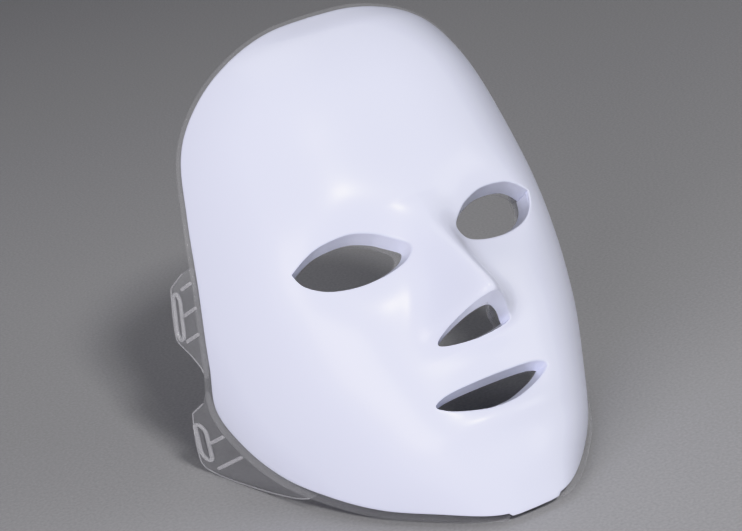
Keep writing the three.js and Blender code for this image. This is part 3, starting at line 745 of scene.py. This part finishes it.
# How deep ribs and slot borders sink into the tab's plate.
RIB_SINK = 0.6
SLOT_CLEARANCE = 0.02
RIB_TILT = 0.13

# Side views of the right-hand tabs: each is the free edge as (y, z) from the chin side up, and
# each rib is (y, z, length).
TABS = [
    dict(root=(-8, 36),
         free=[(-5, -11.2), (-2.2, -11.8), (6.1, -17.6), (15, -25.4), (19.2, -25.8), (27.7, -20.6),
               (36, -13.6), (37.2, -10.4), (37.4, 4.6)],
         slot=((23.7, -14), 0.6), ribs=[(10.8, -7.4, 15), (20.8, 0, 14.2), (31, 5.6, 11.6)]),
    dict(root=(-77, -13),
         free=[(-76, -9), (-73.1, -16.7), (-68.4, -25.6), (-59.2, -40.2), (-45.5, -59), (-37.6, -67.1),
               (-34.4, -68.3), (-31.6, -67.2), (-23.8, -57), (-15.6, -42.4), (-14.9, -39), (-15.2, -26.3)],
         slot=((-27.4, -51.2), 0.925), ribs=[(-42, -44.4, 27), (-30.9, -38.4, 14)]),
]


def rim_line():
    side = smooth(TRIM, 0.4)
    width = trim_half_width(side[:, 0], side[:, 1])
    width[0] = width[-1] = 0
    return np.stack([width, side[:, 0], side[:, 1]], -1)


RIM_LINE = rim_line()


def rim_point(y):
    return np.array([np.interp(y, RIM_LINE[:, 1], RIM_LINE[:, k]) for k in range(3)])


def slot_outline(centre, angle, margin):
    reach = (SLOT_LENGTH - SLOT_WIDTH) / 2
    radius = SLOT_WIDTH / 2 + margin
    along = np.array([math.cos(angle), math.sin(angle)])
    ends = []
    for side in (1, -1):
        for a in np.linspace(-math.pi / 2, math.pi / 2, 9):
            turn = angle + a + (0 if side > 0 else math.pi)
            end = np.array(centre) + side * reach * along
            ends.append(end + radius * np.array([math.cos(turn), math.sin(turn)]))
    return spread(np.array(ends + ends[:1]), 0.8)[:-1]


def make_tab(tab, side, name):
    """One tab as closed pieces: slotted plate, bead along its edge, slot border and ribs."""
    y_low, y_high = tab["root"]
    low, high = rim_point(y_low), rim_point(y_high)
    slope = (high[0] - low[0] + TAB_FLARE * (high[2] - low[2])) / (high[1] - low[1])
    base = low[0] + station(CLEAR_RIM, y_low) - TAB_WALL

    def place(points):
        y, z, w = points.T
        x = base + w + slope * (y - y_low) - TAB_FLARE * (z - low[2])
        return np.stack([side * x, y, z], -1)

    root_y = np.linspace(y_high, y_low, 24)
    root = np.array([(y, rim_point(y)[2] - RIM_GAP - 1.2) for y in root_y])
    free = smooth(tab["free"], 0.8)
    rim = spread(np.vstack([root, free, root[:1]]), 0.8)[:-1]
    parts = []

    # Bead, slot border and ribs take the brighter copy of the clear plastic by default, which is a painted
    # highlight.
    def body(shape, suffix, material=CLEAR_PAINTED_HIGHLIGHT):
        builder = Builder()
        builder.add(shape, place)
        parts.append(builder.piece(f"{name}_{suffix}", material))

    slot = slot_outline(*tab["slot"], 0)
    body(plate(rim, [slot], 0, TAB_WALL, TAB_ROLL, 2.0), "plate", CLEAR)
    bead_line = [(y, z, TAB_WALL - 1.5 * TAB_BEAD) for y, z in spread(free, 1.2)]
    body(tube(bead_line, TAB_BEAD, 8), "bead")
    ring = slot_outline(*tab["slot"], SLOT_BORDER)
    bore = slot_outline(*tab["slot"], SLOT_CLEARANCE)
    body(plate(ring, [bore], TAB_WALL - RIB_SINK, TAB_WALL + RIB_HEIGHT, 0.35, 2.0), "ring")
    c, s = math.cos(RIB_TILT), math.sin(RIB_TILT)
    for k, (y, z, length) in enumerate(tab["ribs"]):
        outline = rounded_box((-RIB_WIDTH / 2, -length / 2), (RIB_WIDTH / 2, length / 2), 0.8, 6)
        outline = outline @ np.array([[c, s], [-s, c]]) + [y, z]
        rib = plate(outline, [], TAB_WALL - RIB_SINK, TAB_WALL + RIB_HEIGHT, 0.45, 2.0)
        body(rib, f"rib_{k}")
    return parts


# ------------------------------------------------------------------ chin socket and its lead

SOCKET_RADIUS = 3.0
SOCKET_LENGTH = 12.0
SOCKET_BORE_RADIUS = 2.1
SOCKET_BORE_DEPTH = 8.0
SOCKET_PIN_RADIUS = 0.6
SOCKET_INSET = (OUTER_WALL + INNER_FRONT) / 2
SOCKET_MOUTH = 0.6 + CLEAR_WALL


def chin_frame():
    y, z = TRIM[0]
    point = face_point(0.0, float(y), 0.0)
    normal = face_normal(np.float64(0), np.float64(y))
    away = unit(np.cross([1.0, 0, 0], normal))
    away *= -1 if away[1] > 0 else 1
    return point, normal, away


CHIN_POINT, CHIN_NORMAL, CHIN_AWAY = chin_frame()


def at_chin(points):
    """Points drawn along w, past the chin's edge, on the socket's axis."""
    origin = CHIN_POINT - CHIN_NORMAL * SOCKET_INSET
    axes = np.array([np.array([1.0, 0, 0]), np.cross(CHIN_AWAY, [1.0, 0, 0]), CHIN_AWAY])
    return origin + points @ axes


def along_axis(profile, count, shift):
    points, polygons = lathe(profile, count)
    return points + [0, 0, shift], polygons


def make_socket(black, brass):
    floor = SOCKET_LENGTH - SOCKET_BORE_DEPTH
    r, bore = SOCKET_RADIUS, SOCKET_BORE_RADIUS
    profile = [(0, 0), (1.6, 0), (1.6, 0.6), (r - 0.7, 0.6), (r - 0.4, 0.75), (r - 0.3, 1.1), (r - 0.3, 8.2),
               (r - 0.2, 8.5), (r, 8.6), (r, 11.6), (r - 0.12, 11.88), (r - 0.4, SOCKET_LENGTH),
               (bore + 0.35, SOCKET_LENGTH), (bore + 0.08, 11.85), (bore, 11.5), (bore, floor + 0.2),
               (bore - 0.2, floor), (0.9, floor), (0, floor)]
    body = Builder()
    body.add(along_axis(profile, 40, SOCKET_MOUTH - SOCKET_LENGTH), at_chin)
    for side in (-1, 1):
        tag = plate(rounded_box((-0.5, -0.15), (0.5, 0.15), 0.1, 2), [], -2.2, 0.4, 0.05, 1.0)
        tag = (tag[0] + [0.9 * side, 0, SOCKET_MOUTH - SOCKET_LENGTH], tag[1])
        body.add(tag, at_chin, 1)
    pin = Builder()
    top = 6.5
    r = SOCKET_PIN_RADIUS
    profile = [(0, 0), (r, 0), (r, top - 0.5), (r * 0.85, top - 0.2), (r * 0.5, top - 0.03), (0, top)]
    pin.add(along_axis(profile, 20, SOCKET_MOUTH - SOCKET_BORE_DEPTH + 0.2), at_chin)
    leaf = plate(rounded_box((-0.55, -0.08), (0.55, 0.08), 0.06, 2), [], 0, 6.0, 0.03, 1.0)
    pin.add((leaf[0] + [0, bore - 0.2, SOCKET_MOUTH - SOCKET_BORE_DEPTH + 0.3], leaf[1]), at_chin)
    return body.piece("inlet_body", black, brass), pin.piece("inlet_contacts", brass)


def make_leads(red, black):
    """Two insulated wires from the socket's tags to the chin board."""
    leads = []
    for side, name, material in ((-1, "lead_red_wire", red), (1, "lead_black_wire", black)):
        start = at_chin(np.array([[0.9 * side, 0, SOCKET_MOUTH - SOCKET_LENGTH - 1.4]]))[0]
        back = at_chin(np.array([[1.0 * side, 0.1, SOCKET_MOUTH - SOCKET_LENGTH - 2.6]]))[0]
        points = [start, back, face_point(1.5 * side, -109.5, 6.0), face_point(2.0 * side, -106.5, 6.5),
                  face_point(2.2 * side, -103.6, 6.35)]
        body = Builder()
        body.add(tube(smooth(points, 0.4), 0.48, 14))
        leads.append(body.piece(name, material))
    return leads


# ------------------------------------------------------------------ circuit boards

BOARD_FRONT = 4.6
BOARD_BACK = 5.8
LED_SIZE = 3.5
LED_HEIGHT = 1.5
SCREW_HEAD_RADIUS = 1.9
SCREW_HOLE_RADIUS = 1.0

BOARDS = [
    dict(name="forehead_board", x=(-50, 50), y=(64, 96), leds=(6, 2), screws=[(-43, 80), (43, 80)]),
    dict(name="nose_bridge_board", x=(-11, 11), y=(24, 52), leds=(2, 2), screws=[(0, 31), (0, 45)]),
    dict(name="left_temple_board", x=(-80, -62), y=(14, 58), leds=(2, 3), screws=[(-71, 27), (-71, 45)]),
    dict(name="right_temple_board", x=(62, 80), y=(14, 58), leds=(2, 3), screws=[(71, 27), (71, 45)]),
    dict(name="left_cheek_board", x=(-70, -30), y=(-56, -22), leds=(4, 3), screws=[(-58, -39), (-37, -39)]),
    dict(name="right_cheek_board", x=(30, 70), y=(-56, -22), leds=(4, 3), screws=[(37, -39), (58, -39)]),
    dict(name="chin_board", x=(-28, 28), y=(-106, -90), leds=(4, 2), screws=[(-24, -98), (24, -98)]),
]


def led_places(board):
    (x0, x1), (y0, y1) = board["x"], board["y"]
    across, up = board["leds"]
    places = []
    for j in range(up):
        for i in range(across):
            x = x0 + (x1 - x0) * (i + 0.5) / across
            y = y0 + (y1 - y0) * (j + 0.5) / up
            if all(math.hypot(sx - x, sy - y) > SCREW_HEAD_RADIUS + LED_SIZE for sx, sy in board["screws"]):
                places.append((x, y))
    return places


def on_face(points):
    return face_point(points[:, 0], points[:, 1], points[:, 2])


def led_bodies():
    """One light package: its housing, its lens and its four legs."""
    half = LED_SIZE / 2
    housing = plate(rounded_box((-half, -half), (half, half), 0.25, 2), [circle(1.35, 20)], 0.1, LED_HEIGHT,
                    0.12, 1.2)
    lens = lathe([(0, 0.12), (1.45, 0.12), (1.45, 1.25), (1.2, 1.33), (0.7, 1.38), (0, 1.4)], 20)
    legs = []
    for sx in (-1, 1):
        for v in (-0.9, 0.9):
            outline = rounded_box((-0.4, -0.35), (0.4, 0.35), 0.1, 2)
            points, polygons = plate(outline, [], 0.02, 0.3, 0.06, 1.0)
            legs.append((points + [sx * (half + 0.15), v, 0], polygons))
    return housing, lens, legs


def chip_body(length, width, height):
    middle = plate(rounded_box((-length / 2 + 0.3, -width / 2), (length / 2 - 0.3, width / 2), 0.08, 2), [],
                   0.05, height, 0.04, 1.0)
    caps = []
    for side in (-1, 1):
        x = side * (length / 2 - 0.18)
        caps.append(plate(rounded_box((x - 0.2, -width / 2 - 0.02), (x + 0.2, width / 2 + 0.02), 0.08, 2), [],
                          0.02, height + 0.03, 0.04, 1.0))
    return middle, caps


def make_board(board, mask, light, lens_material, metal, dark):
    """One curved board with its screw holes, lights, resistors and soldered pads."""
    (x0, x1), (y0, y1) = board["x"], board["y"]
    holes = [circle(SCREW_HOLE_RADIUS, 20, place) for place in board["screws"]]
    body = Builder()
    corners = rounded_box((x0, y0), (x1, y1), 3.0, 6)
    rim = spread(np.vstack([corners, corners[:1]]), 1.2)[:-1]
    body.add(plate(rim, holes, BOARD_FRONT, BOARD_BACK, 0.12, 2.4), on_face)
    for place in board["screws"]:
        ring = plate(circle(2.6, 28, place), [circle(1.02, 20, place)], BOARD_BACK - 0.1, BOARD_BACK + 0.04,
                     0.02, 0.7)
        body.add(ring, on_face, 3)
    housing, lens, legs = led_bodies()
    for x, y in led_places(board):
        place = under(x, y, BOARD_BACK)
        body.add(housing, place, 1)
        body.add(lens, place, 2)
        for leg in legs:
            body.add(leg, place, 3)
    middle, caps = chip_body(2.0, 1.25, 0.55)
    for x, y in led_places(board):
        x_chip = x + 3.6 if x + 5.2 < x1 else x - 3.6
        clear = all(math.hypot(sx - x_chip, sy - y) > 4.0 for sx, sy in board["screws"])
        if clear and x0 + 1.5 < x_chip < x1 - 1.5:
            place = under(x_chip, y, BOARD_BACK, math.pi / 2)
            body.add(middle, place, 4)
            for cap in caps:
                body.add(cap, place, 3)
    return body.piece(board["name"] + "_assembly", mask, light, lens_material, metal, dark)


def make_screws(steel):
    """Pan heads with a cross recess, on short threaded shanks."""
    head = 1.1
    r = SCREW_HEAD_RADIUS
    reach = 3.2
    profile = [(0, 0), (0.35, 0), (0.6, 0.3)]
    for k in range(8):
        profile += [(0.72, 0.45 + k * 0.33), (0.55, 0.62 + k * 0.33)]
    profile += [(0.62, reach - 0.08), (r - 0.1, reach), (r, reach + 0.1), (r, reach + 0.35),
                (r * 0.9, reach + 0.72), (r * 0.68, reach + 0.98), (r * 0.4, reach + head - 0.02),
                (0, reach + head)]
    builder = Builder()
    builder.add(lathe(profile, 28))
    screw = builder.piece("screw_blank", steel)
    cutters = []
    for wide, tall in ((2.1, 0.5), (0.5, 2.1)):
        cutter = Builder()
        cutter.add(plate(rounded_box((-wide / 2, -tall / 2), (wide / 2, tall / 2), 0.1, 3), [], reach + 0.35,
                         reach + 2, 0.02, 3.0))
        cutters.append(cutter.piece("recess", steel))
    screw = combine(screw, cutters, "DIFFERENCE")
    screw.data.transform(WORLD.inverted())
    points = np.array([v.co for v in screw.data.vertices])
    polygons = [tuple(p.vertices) for p in screw.data.polygons]
    bpy.data.objects.remove(screw)
    pieces = []
    number = 0
    for board in BOARDS:
        for x, y in board["screws"]:
            number += 1
            body = Builder()
            body.add((points, polygons), under(x, y, BOARD_BACK + 0.05 - reach, 0.4 * number))
            piece = body.piece(f"pan_screw_{number:02d}", steel, smooth_angle=30)
            pieces.append((piece, f"board_screw_{number:02d}"))
    return pieces


def make_posts(white):
    posts = Builder()
    top = BOARD_FRONT - OUTER_WALL
    profile = [(0, -0.5), (3.4, -0.5), (3.3, 0.05), (2.7, 0.25), (2.4, 0.7), (2.25, top - 0.15), (2.1, top),
               (0.95, top), (0.8, top - 0.15), (0.8, 0.2), (0, 0.2)]
    for board in BOARDS:
        for x, y in board["screws"]:
            posts.add(lathe(profile, 28), under(x, y, OUTER_WALL))
    return posts.piece("board_posts", white)


# ------------------------------------------------------------------ ribbons between the boards

RIBBON_WIDTH = 5.0
RIBBON_THICKNESS = 0.3
RIBBONS = [
    ("forehead_bridge_ribbon", [(0, 66), (0, 63), (0, 53), (0, 50)]),
    ("left_forehead_ribbon", [(-47.5, 77.5), (-53.5, 73), (-68, 61), (-70.4, 56)]),
    ("right_forehead_ribbon", [(47.5, 77.5), (53.5, 73), (68, 61), (70.4, 56)]),
    ("left_temple_ribbon", [(-72, 16.4), (-72, 13), (-66, -21), (-65.6, -24.4)]),
    ("right_temple_ribbon", [(72, 16.4), (72, 13), (66, -21), (65.6, -24.4)]),
    ("left_chin_ribbon", [(-49, -54), (-48, -57.5), (-33, -90), (-26.4, -93)]),
    ("right_chin_ribbon", [(49, -54), (48, -57.5), (33, -90), (26.4, -93)]),
]


def make_ribbon(name, path, film, ivory):
    """Flat flexible cable on the boards' inner side, with a connector at each end."""
    line = spread(smooth(path, 0.5), 1.0)
    along = unit(np.gradient(line, axis=0))
    across = np.stack([along[:, 1], -along[:, 0]], -1)
    share = np.linspace(0, 1, len(line))
    rest = BOARD_BACK + 0.25 + 0.5 * np.sin(np.pi * share) ** 2
    lanes = np.linspace(-0.5, 0.5, 13) * RIBBON_WIDTH
    points = []
    for depth_step in (0, RIBBON_THICKNESS):
        for k, lane in enumerate(lanes):
            ridge = 0.06 if k % 2 and depth_step else 0.0
            xy = line + across * lane
            points.append(face_point(xy[:, 0], xy[:, 1], rest + depth_step + ridge))
    count = len(line)
    wide = len(lanes)
    points = np.vstack(points)

    def number(layer, lane, k):
        return (layer * wide + lane) * count + k

    polygons = []
    for lane in range(wide - 1):
        for k in range(count - 1):
            for layer in (0, 1):
                polygons.append((number(layer, lane, k), number(layer, lane + 1, k),
                                 number(layer, lane + 1, k + 1), number(layer, lane, k + 1)))
    for lane in (0, wide - 1):
        for k in range(count - 1):
            polygons.append((number(0, lane, k), number(0, lane, k + 1), number(1, lane, k + 1),
                             number(1, lane, k)))
    for k in (0, count - 1):
        for lane in range(wide - 1):
            polygons.append((number(0, lane, k), number(0, lane + 1, k), number(1, lane + 1, k),
                             number(1, lane, k)))
    ribbon = Builder()
    ribbon.add((points, polygons))
    shape = plate(rounded_box((-3.3, -1.0), (3.3, 1.0), 0.2, 2), [], 0.0, 1.15, 0.1, 1.5)
    latch = plate(rounded_box((-3.1, -0.35), (3.1, 0.35), 0.15, 2), [], 1.0, 1.35, 0.08, 1.5)
    for k in (0, -1):
        x, y = line[k] + along[k] * (0.6 if k == 0 else -0.6)
        up = unit(face_point(*(line[k] + along[k]), 0) - face_point(*(line[k] - along[k]), 0))
        base = under(x, y, BOARD_BACK)
        axes = base(np.eye(3)) - base(np.zeros((1, 3)))
        turn = math.atan2(-float(up @ axes[0]), float(up @ axes[1]))
        place = under(x, y, BOARD_BACK, turn)
        ribbon.add(shape, place, 1)
        ribbon.add(latch, place, 2)
    return ribbon.piece(name + "_film", film, ivory, BLACK)


# ------------------------------------------------------------------ materials


def new_material(name):
    material = bpy.data.materials.new(name)
    material.use_nodes = True
    nodes = material.node_tree.nodes
    return material, nodes, material.node_tree.links, nodes["Principled BSDF"]


def object_coordinates(nodes, links, scale):
    """Object coordinates in units of 1 / scale metres."""
    source = nodes.new("ShaderNodeTexCoord")
    mapping = nodes.new("ShaderNodeMapping")
    mapping.inputs["Scale"].default_value = (scale, scale, scale)
    links.new(source.outputs["Object"], mapping.inputs["Vector"])
    return mapping.outputs["Vector"]


def noise(nodes, links, vector, scale, detail=3.0):
    texture = nodes.new("ShaderNodeTexNoise")
    texture.inputs["Scale"].default_value = scale
    texture.inputs["Detail"].default_value = detail
    links.new(vector, texture.inputs["Vector"])
    return texture.outputs["Fac"]


def ramp(nodes, links, value, stops):
    """Colour ramp through (position, colour) stops."""
    node = nodes.new("ShaderNodeValToRGB")
    elements = node.color_ramp.elements
    elements[0].position, elements[0].color = stops[0][0], (*stops[0][1], 1)
    elements[1].position, elements[1].color = stops[-1][0], (*stops[-1][1], 1)
    for position, colour in stops[1:-1]:
        elements.new(position).color = (*colour, 1)
    links.new(value, node.inputs["Fac"])
    return node.outputs["Color"]


def add_bump(nodes, links, shader, height, distance, strength=0.3):
    node = nodes.new("ShaderNodeBump")
    node.inputs["Strength"].default_value = strength
    node.inputs["Distance"].default_value = distance
    links.new(height, node.inputs["Height"])
    links.new(node.outputs["Normal"], shader.inputs["Normal"])


def roughness_between(nodes, links, shader, value, low, high):
    node = nodes.new("ShaderNodeMapRange")
    node.inputs["To Min"].default_value = low
    node.inputs["To Max"].default_value = high
    links.new(value, node.inputs["Value"])
    links.new(node.outputs["Result"], shader.inputs["Roughness"])


def white_gloss():
    material, nodes, links, shader = new_material("white_gloss_plastic")
    vector = object_coordinates(nodes, links, 1)
    patch = noise(nodes, links, vector, 9, 1.0)
    grain = noise(nodes, links, vector, 900, 2)
    colour = ramp(nodes, links, patch, [(0.2, (0.762, 0.785, 0.918)), (0.8, (0.772, 0.795, 0.926))])
    links.new(colour, shader.inputs["Base Color"])
    roughness_between(nodes, links, shader, patch, 0.33, 0.37)
    add_bump(nodes, links, shader, grain, 0.00008, 0.12)
    shader.inputs["Specular IOR Level"].default_value = 0.5
    shader.inputs["Coat Weight"].default_value = 0.3
    shader.inputs["Coat Roughness"].default_value = 0.2
    return material


def clear_plastic(name, tone, face_cover, edge_cover):
    """Clear plastic that lets light through to what lies behind, and catches light along its edges."""
    material, nodes, links, shader = new_material(name)
    vector = object_coordinates(nodes, links, 1)
    haze = noise(nodes, links, vector, 60)
    dull = (tone, tone, tone + 0.03)
    bright = (tone + 0.05, tone + 0.05, tone + 0.08)
    colour = ramp(nodes, links, haze, [(0.3, dull), (0.7, bright)])
    links.new(colour, shader.inputs["Base Color"])
    roughness_between(nodes, links, shader, haze, 0.05, 0.12)
    edge = nodes.new("ShaderNodeLayerWeight")
    edge.inputs["Blend"].default_value = 0.5
    cover = ramp(nodes, links, edge.outputs["Facing"],
                 [(0.0, (face_cover,) * 3), (0.6, (1.4 * face_cover,) * 3), (0.78, (edge_cover,) * 3),
                  (1.0, (0.95, 0.95, 0.95))])
    links.new(cover, shader.inputs["Alpha"])
    shader.inputs["Specular IOR Level"].default_value = 0.8
    shader.inputs["Coat Weight"].default_value = 0.3
    shader.inputs["Coat Roughness"].default_value = 0.05
    shader.inputs["IOR"].default_value = 1.585
    return material


def board_mask():
    material, nodes, links, shader = new_material("white_solder_mask")
    vector = object_coordinates(nodes, links, 1)
    patch = noise(nodes, links, vector, 90)
    traces = nodes.new("ShaderNodeTexBrick")
    traces.offset = 0.35
    traces.inputs["Scale"].default_value = 260
    traces.inputs["Mortar Size"].default_value = 0.035
    traces.inputs["Brick Width"].default_value = 1.6
    traces.inputs["Row Height"].default_value = 0.5
    traces.inputs["Color1"].default_value = (0.80, 0.80, 0.77, 1)
    traces.inputs["Color2"].default_value = (0.77, 0.775, 0.75, 1)
    traces.inputs["Mortar"].default_value = (0.70, 0.705, 0.68, 1)
    links.new(vector, traces.inputs["Vector"])
    links.new(traces.outputs["Color"], shader.inputs["Base Color"])
    roughness_between(nodes, links, shader, patch, 0.38, 0.5)
    add_bump(nodes, links, shader, traces.outputs["Fac"], 0.00004, 0.35)
    return material


def plain_material(name, low, high, scale, rough, metallic=0.0, bump=0.0):
    """Colour that varies softly between two values, with matching roughness and grain."""
    material, nodes, links, shader = new_material(name)
    vector = object_coordinates(nodes, links, 1)
    patch = noise(nodes, links, vector, scale)
    links.new(ramp(nodes, links, patch, [(0.3, low), (0.7, high)]), shader.inputs["Base Color"])
    roughness_between(nodes, links, shader, patch, *rough)
    shader.inputs["Metallic"].default_value = metallic
    if bump:
        add_bump(nodes, links, shader, noise(nodes, links, vector, 2200, 2), 0.00003, bump)
    return material


def plain_floor():
    material, nodes, links, shader = new_material("studio_floor")
    vector = object_coordinates(nodes, links, 1)
    grain = noise(nodes, links, vector, 700, 2)
    colour = ramp(nodes, links, grain, [(0.3, (0.36, 0.36, 0.37)), (0.7, (0.42, 0.42, 0.43))])
    links.new(colour, shader.inputs["Base Color"])
    shader.inputs["Roughness"].default_value = 0.85
    return material


# ------------------------------------------------------------------ camera, light and floor

# Camera in the face frame: where it stands, and its right, up and back directions.
CAMERA_PLACE = (-396.2, -201.4, 895.9)
CAMERA_RIGHT = (0.8637, -0.4182, 0.2811)
CAMERA_UP = (0.427, 1.201, 0.475)
CAMERA_LENS = 105.06


def make_camera():
    data = bpy.data.cameras.new("camera")
    data.lens = CAMERA_LENS
    data.sensor_width = 36
    data.clip_end = 50
    camera = bpy.data.objects.new("camera", data)
    bpy.context.collection.objects.link(camera)
    right = Vector(CAMERA_RIGHT).normalized()
    up = Vector(CAMERA_UP)
    up = (up - right * up.dot(right)).normalized()
    back = right.cross(up)
    turn = WORLD.to_3x3().normalized()
    axes = Matrix([turn @ right, turn @ up, turn @ back]).transposed()
    camera.matrix_world = Matrix.Translation(WORLD @ Vector(CAMERA_PLACE)) @ axes.to_4x4()
    bpy.context.scene.camera = camera
    return camera


def area_light(name, place, target, size, power, colour):
    data = bpy.data.lights.new(name, "AREA")
    data.shape = "RECTANGLE"
    data.size, data.size_y = size
    data.energy = power
    data.color = colour
    light = bpy.data.objects.new(name, data)
    bpy.context.collection.objects.link(light)
    light.location = place
    light.rotation_euler = (Vector(target) - Vector(place)).to_track_quat("-Z", "Y").to_euler()
    return light


def make_studio():
    size = 6.0
    points = [(-size, -size, 0), (size, -size, 0), (size, size, 0), (-size, size, 0)]
    mesh = bpy.data.meshes.new("floor")
    mesh.from_pydata(points, [], [(0, 1, 2, 3)])
    floor = bpy.data.objects.new("floor", mesh)
    bpy.context.collection.objects.link(floor)
    mesh.materials.append(plain_floor())
    target = (0, 0, 0.09)
    area_light("key_softbox", (-0.08, -1.5, 1.5), target, (0.3, 0.3), 25, (1.0, 0.985, 0.97))
    area_light("left_softbox", (-1.6, -1.2, 0.5), target, (1.3, 0.9), 29, (0.98, 0.96, 1.0))
    area_light("right_softbox", (1.4, -1.2, 0.7), target, (1.0, 0.8), 8, (0.97, 0.97, 1.0))
    area_light("top_softbox", (0.1, 0.7, 2.0), target, (1.4, 1.0), 6, (0.97, 0.97, 1.0))
    world = bpy.data.worlds.new("studio")
    world.use_nodes = True
    background = world.node_tree.nodes["Background"]
    background.inputs["Color"].default_value = (0.92, 0.93, 1.0, 1)
    background.inputs["Strength"].default_value = 0.08
    bpy.context.scene.world = world
    bpy.context.scene.view_settings.view_transform = "Khronos PBR Neutral"


# ------------------------------------------------------------------ assembly


def stand_for(piece, slot, *nodes):
    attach(piece, "root")
    if nodes:
        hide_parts(*nodes)


make_camera()
make_studio()
WHITE = white_gloss()
CLEAR = clear_plastic("clear_polycarbonate", 0.80, 0.05, 0.3)
# Brighter, more opaque copy of the same clear plastic: a painted highlight for the bright lines along the
# tabs' bead, slot border and ribs.
CLEAR_PAINTED_HIGHLIGHT = clear_plastic("clear_polycarbonate_painted_highlight", 0.88, 0.2, 0.55)
BLACK = plain_material("black_nylon", (0.018, 0.018, 0.02), (0.03, 0.03, 0.033), 300, (0.38, 0.5), bump=0.3)
IVORY = plain_material("ivory_nylon", (0.74, 0.71, 0.62), (0.8, 0.77, 0.69), 300, (0.4, 0.5), bump=0.2)
STEEL = plain_material("zinc_plate", (0.50, 0.51, 0.53), (0.66, 0.67, 0.69), 500, (0.22, 0.36), 1.0, 0.2)
BRASS = plain_material("plated_brass", (0.72, 0.56, 0.30), (0.82, 0.67, 0.40), 400, (0.18, 0.3), 1.0)
SOLDER = plain_material("tinned_copper", (0.70, 0.70, 0.71), (0.80, 0.80, 0.80), 700, (0.25, 0.4), 1.0)
LIGHT = plain_material("led_housing", (0.86, 0.86, 0.84), (0.9, 0.9, 0.88), 500, (0.35, 0.45))
LENS = plain_material("led_silicone", (0.80, 0.66, 0.30), (0.84, 0.72, 0.38), 500, (0.12, 0.2))
MASK = board_mask()
FILM = plain_material("ribbon_film", (0.66, 0.68, 0.71), (0.74, 0.76, 0.78), 200, (0.35, 0.5), bump=0.15)
RED = plain_material("red_insulation", (0.42, 0.02, 0.015), (0.5, 0.03, 0.02), 300, (0.3, 0.42), bump=0.2)

stand_for(make_outer_shell(WHITE), "shell_white", "outer_shell")
stand_for(make_posts(WHITE), "shell_white")
stand_for(make_inner_shell(CLEAR), "shell_clear", "inner_shell")
for tab_number, tab in enumerate(TABS):
    for side, side_name in ((-1, "left"), (1, "right")):
        for part in make_tab(tab, side, f"{side_name}_tab_{tab_number}"):
            stand_for(part, "shell_clear")
for board in BOARDS:
    stand_for(make_board(board, MASK, LIGHT, LENS, SOLDER, BLACK), "board_white", board["name"])
for screw, node in make_screws(STEEL):
    stand_for(screw, "screw_steel", node)
for ribbon_name, path in RIBBONS:
    stand_for(make_ribbon(ribbon_name, path, FILM, IVORY), "ribbon_grey", ribbon_name)
inlet, contacts = make_socket(BLACK, BRASS)
stand_for(inlet, "socket_black", "power_socket")
stand_for(contacts, "pin_brass", "socket_pin")
red_wire, black_wire = make_leads(RED, BLACK)
stand_for(red_wire, "lead_red", "power_lead")
stand_for(black_wire, "socket_black")
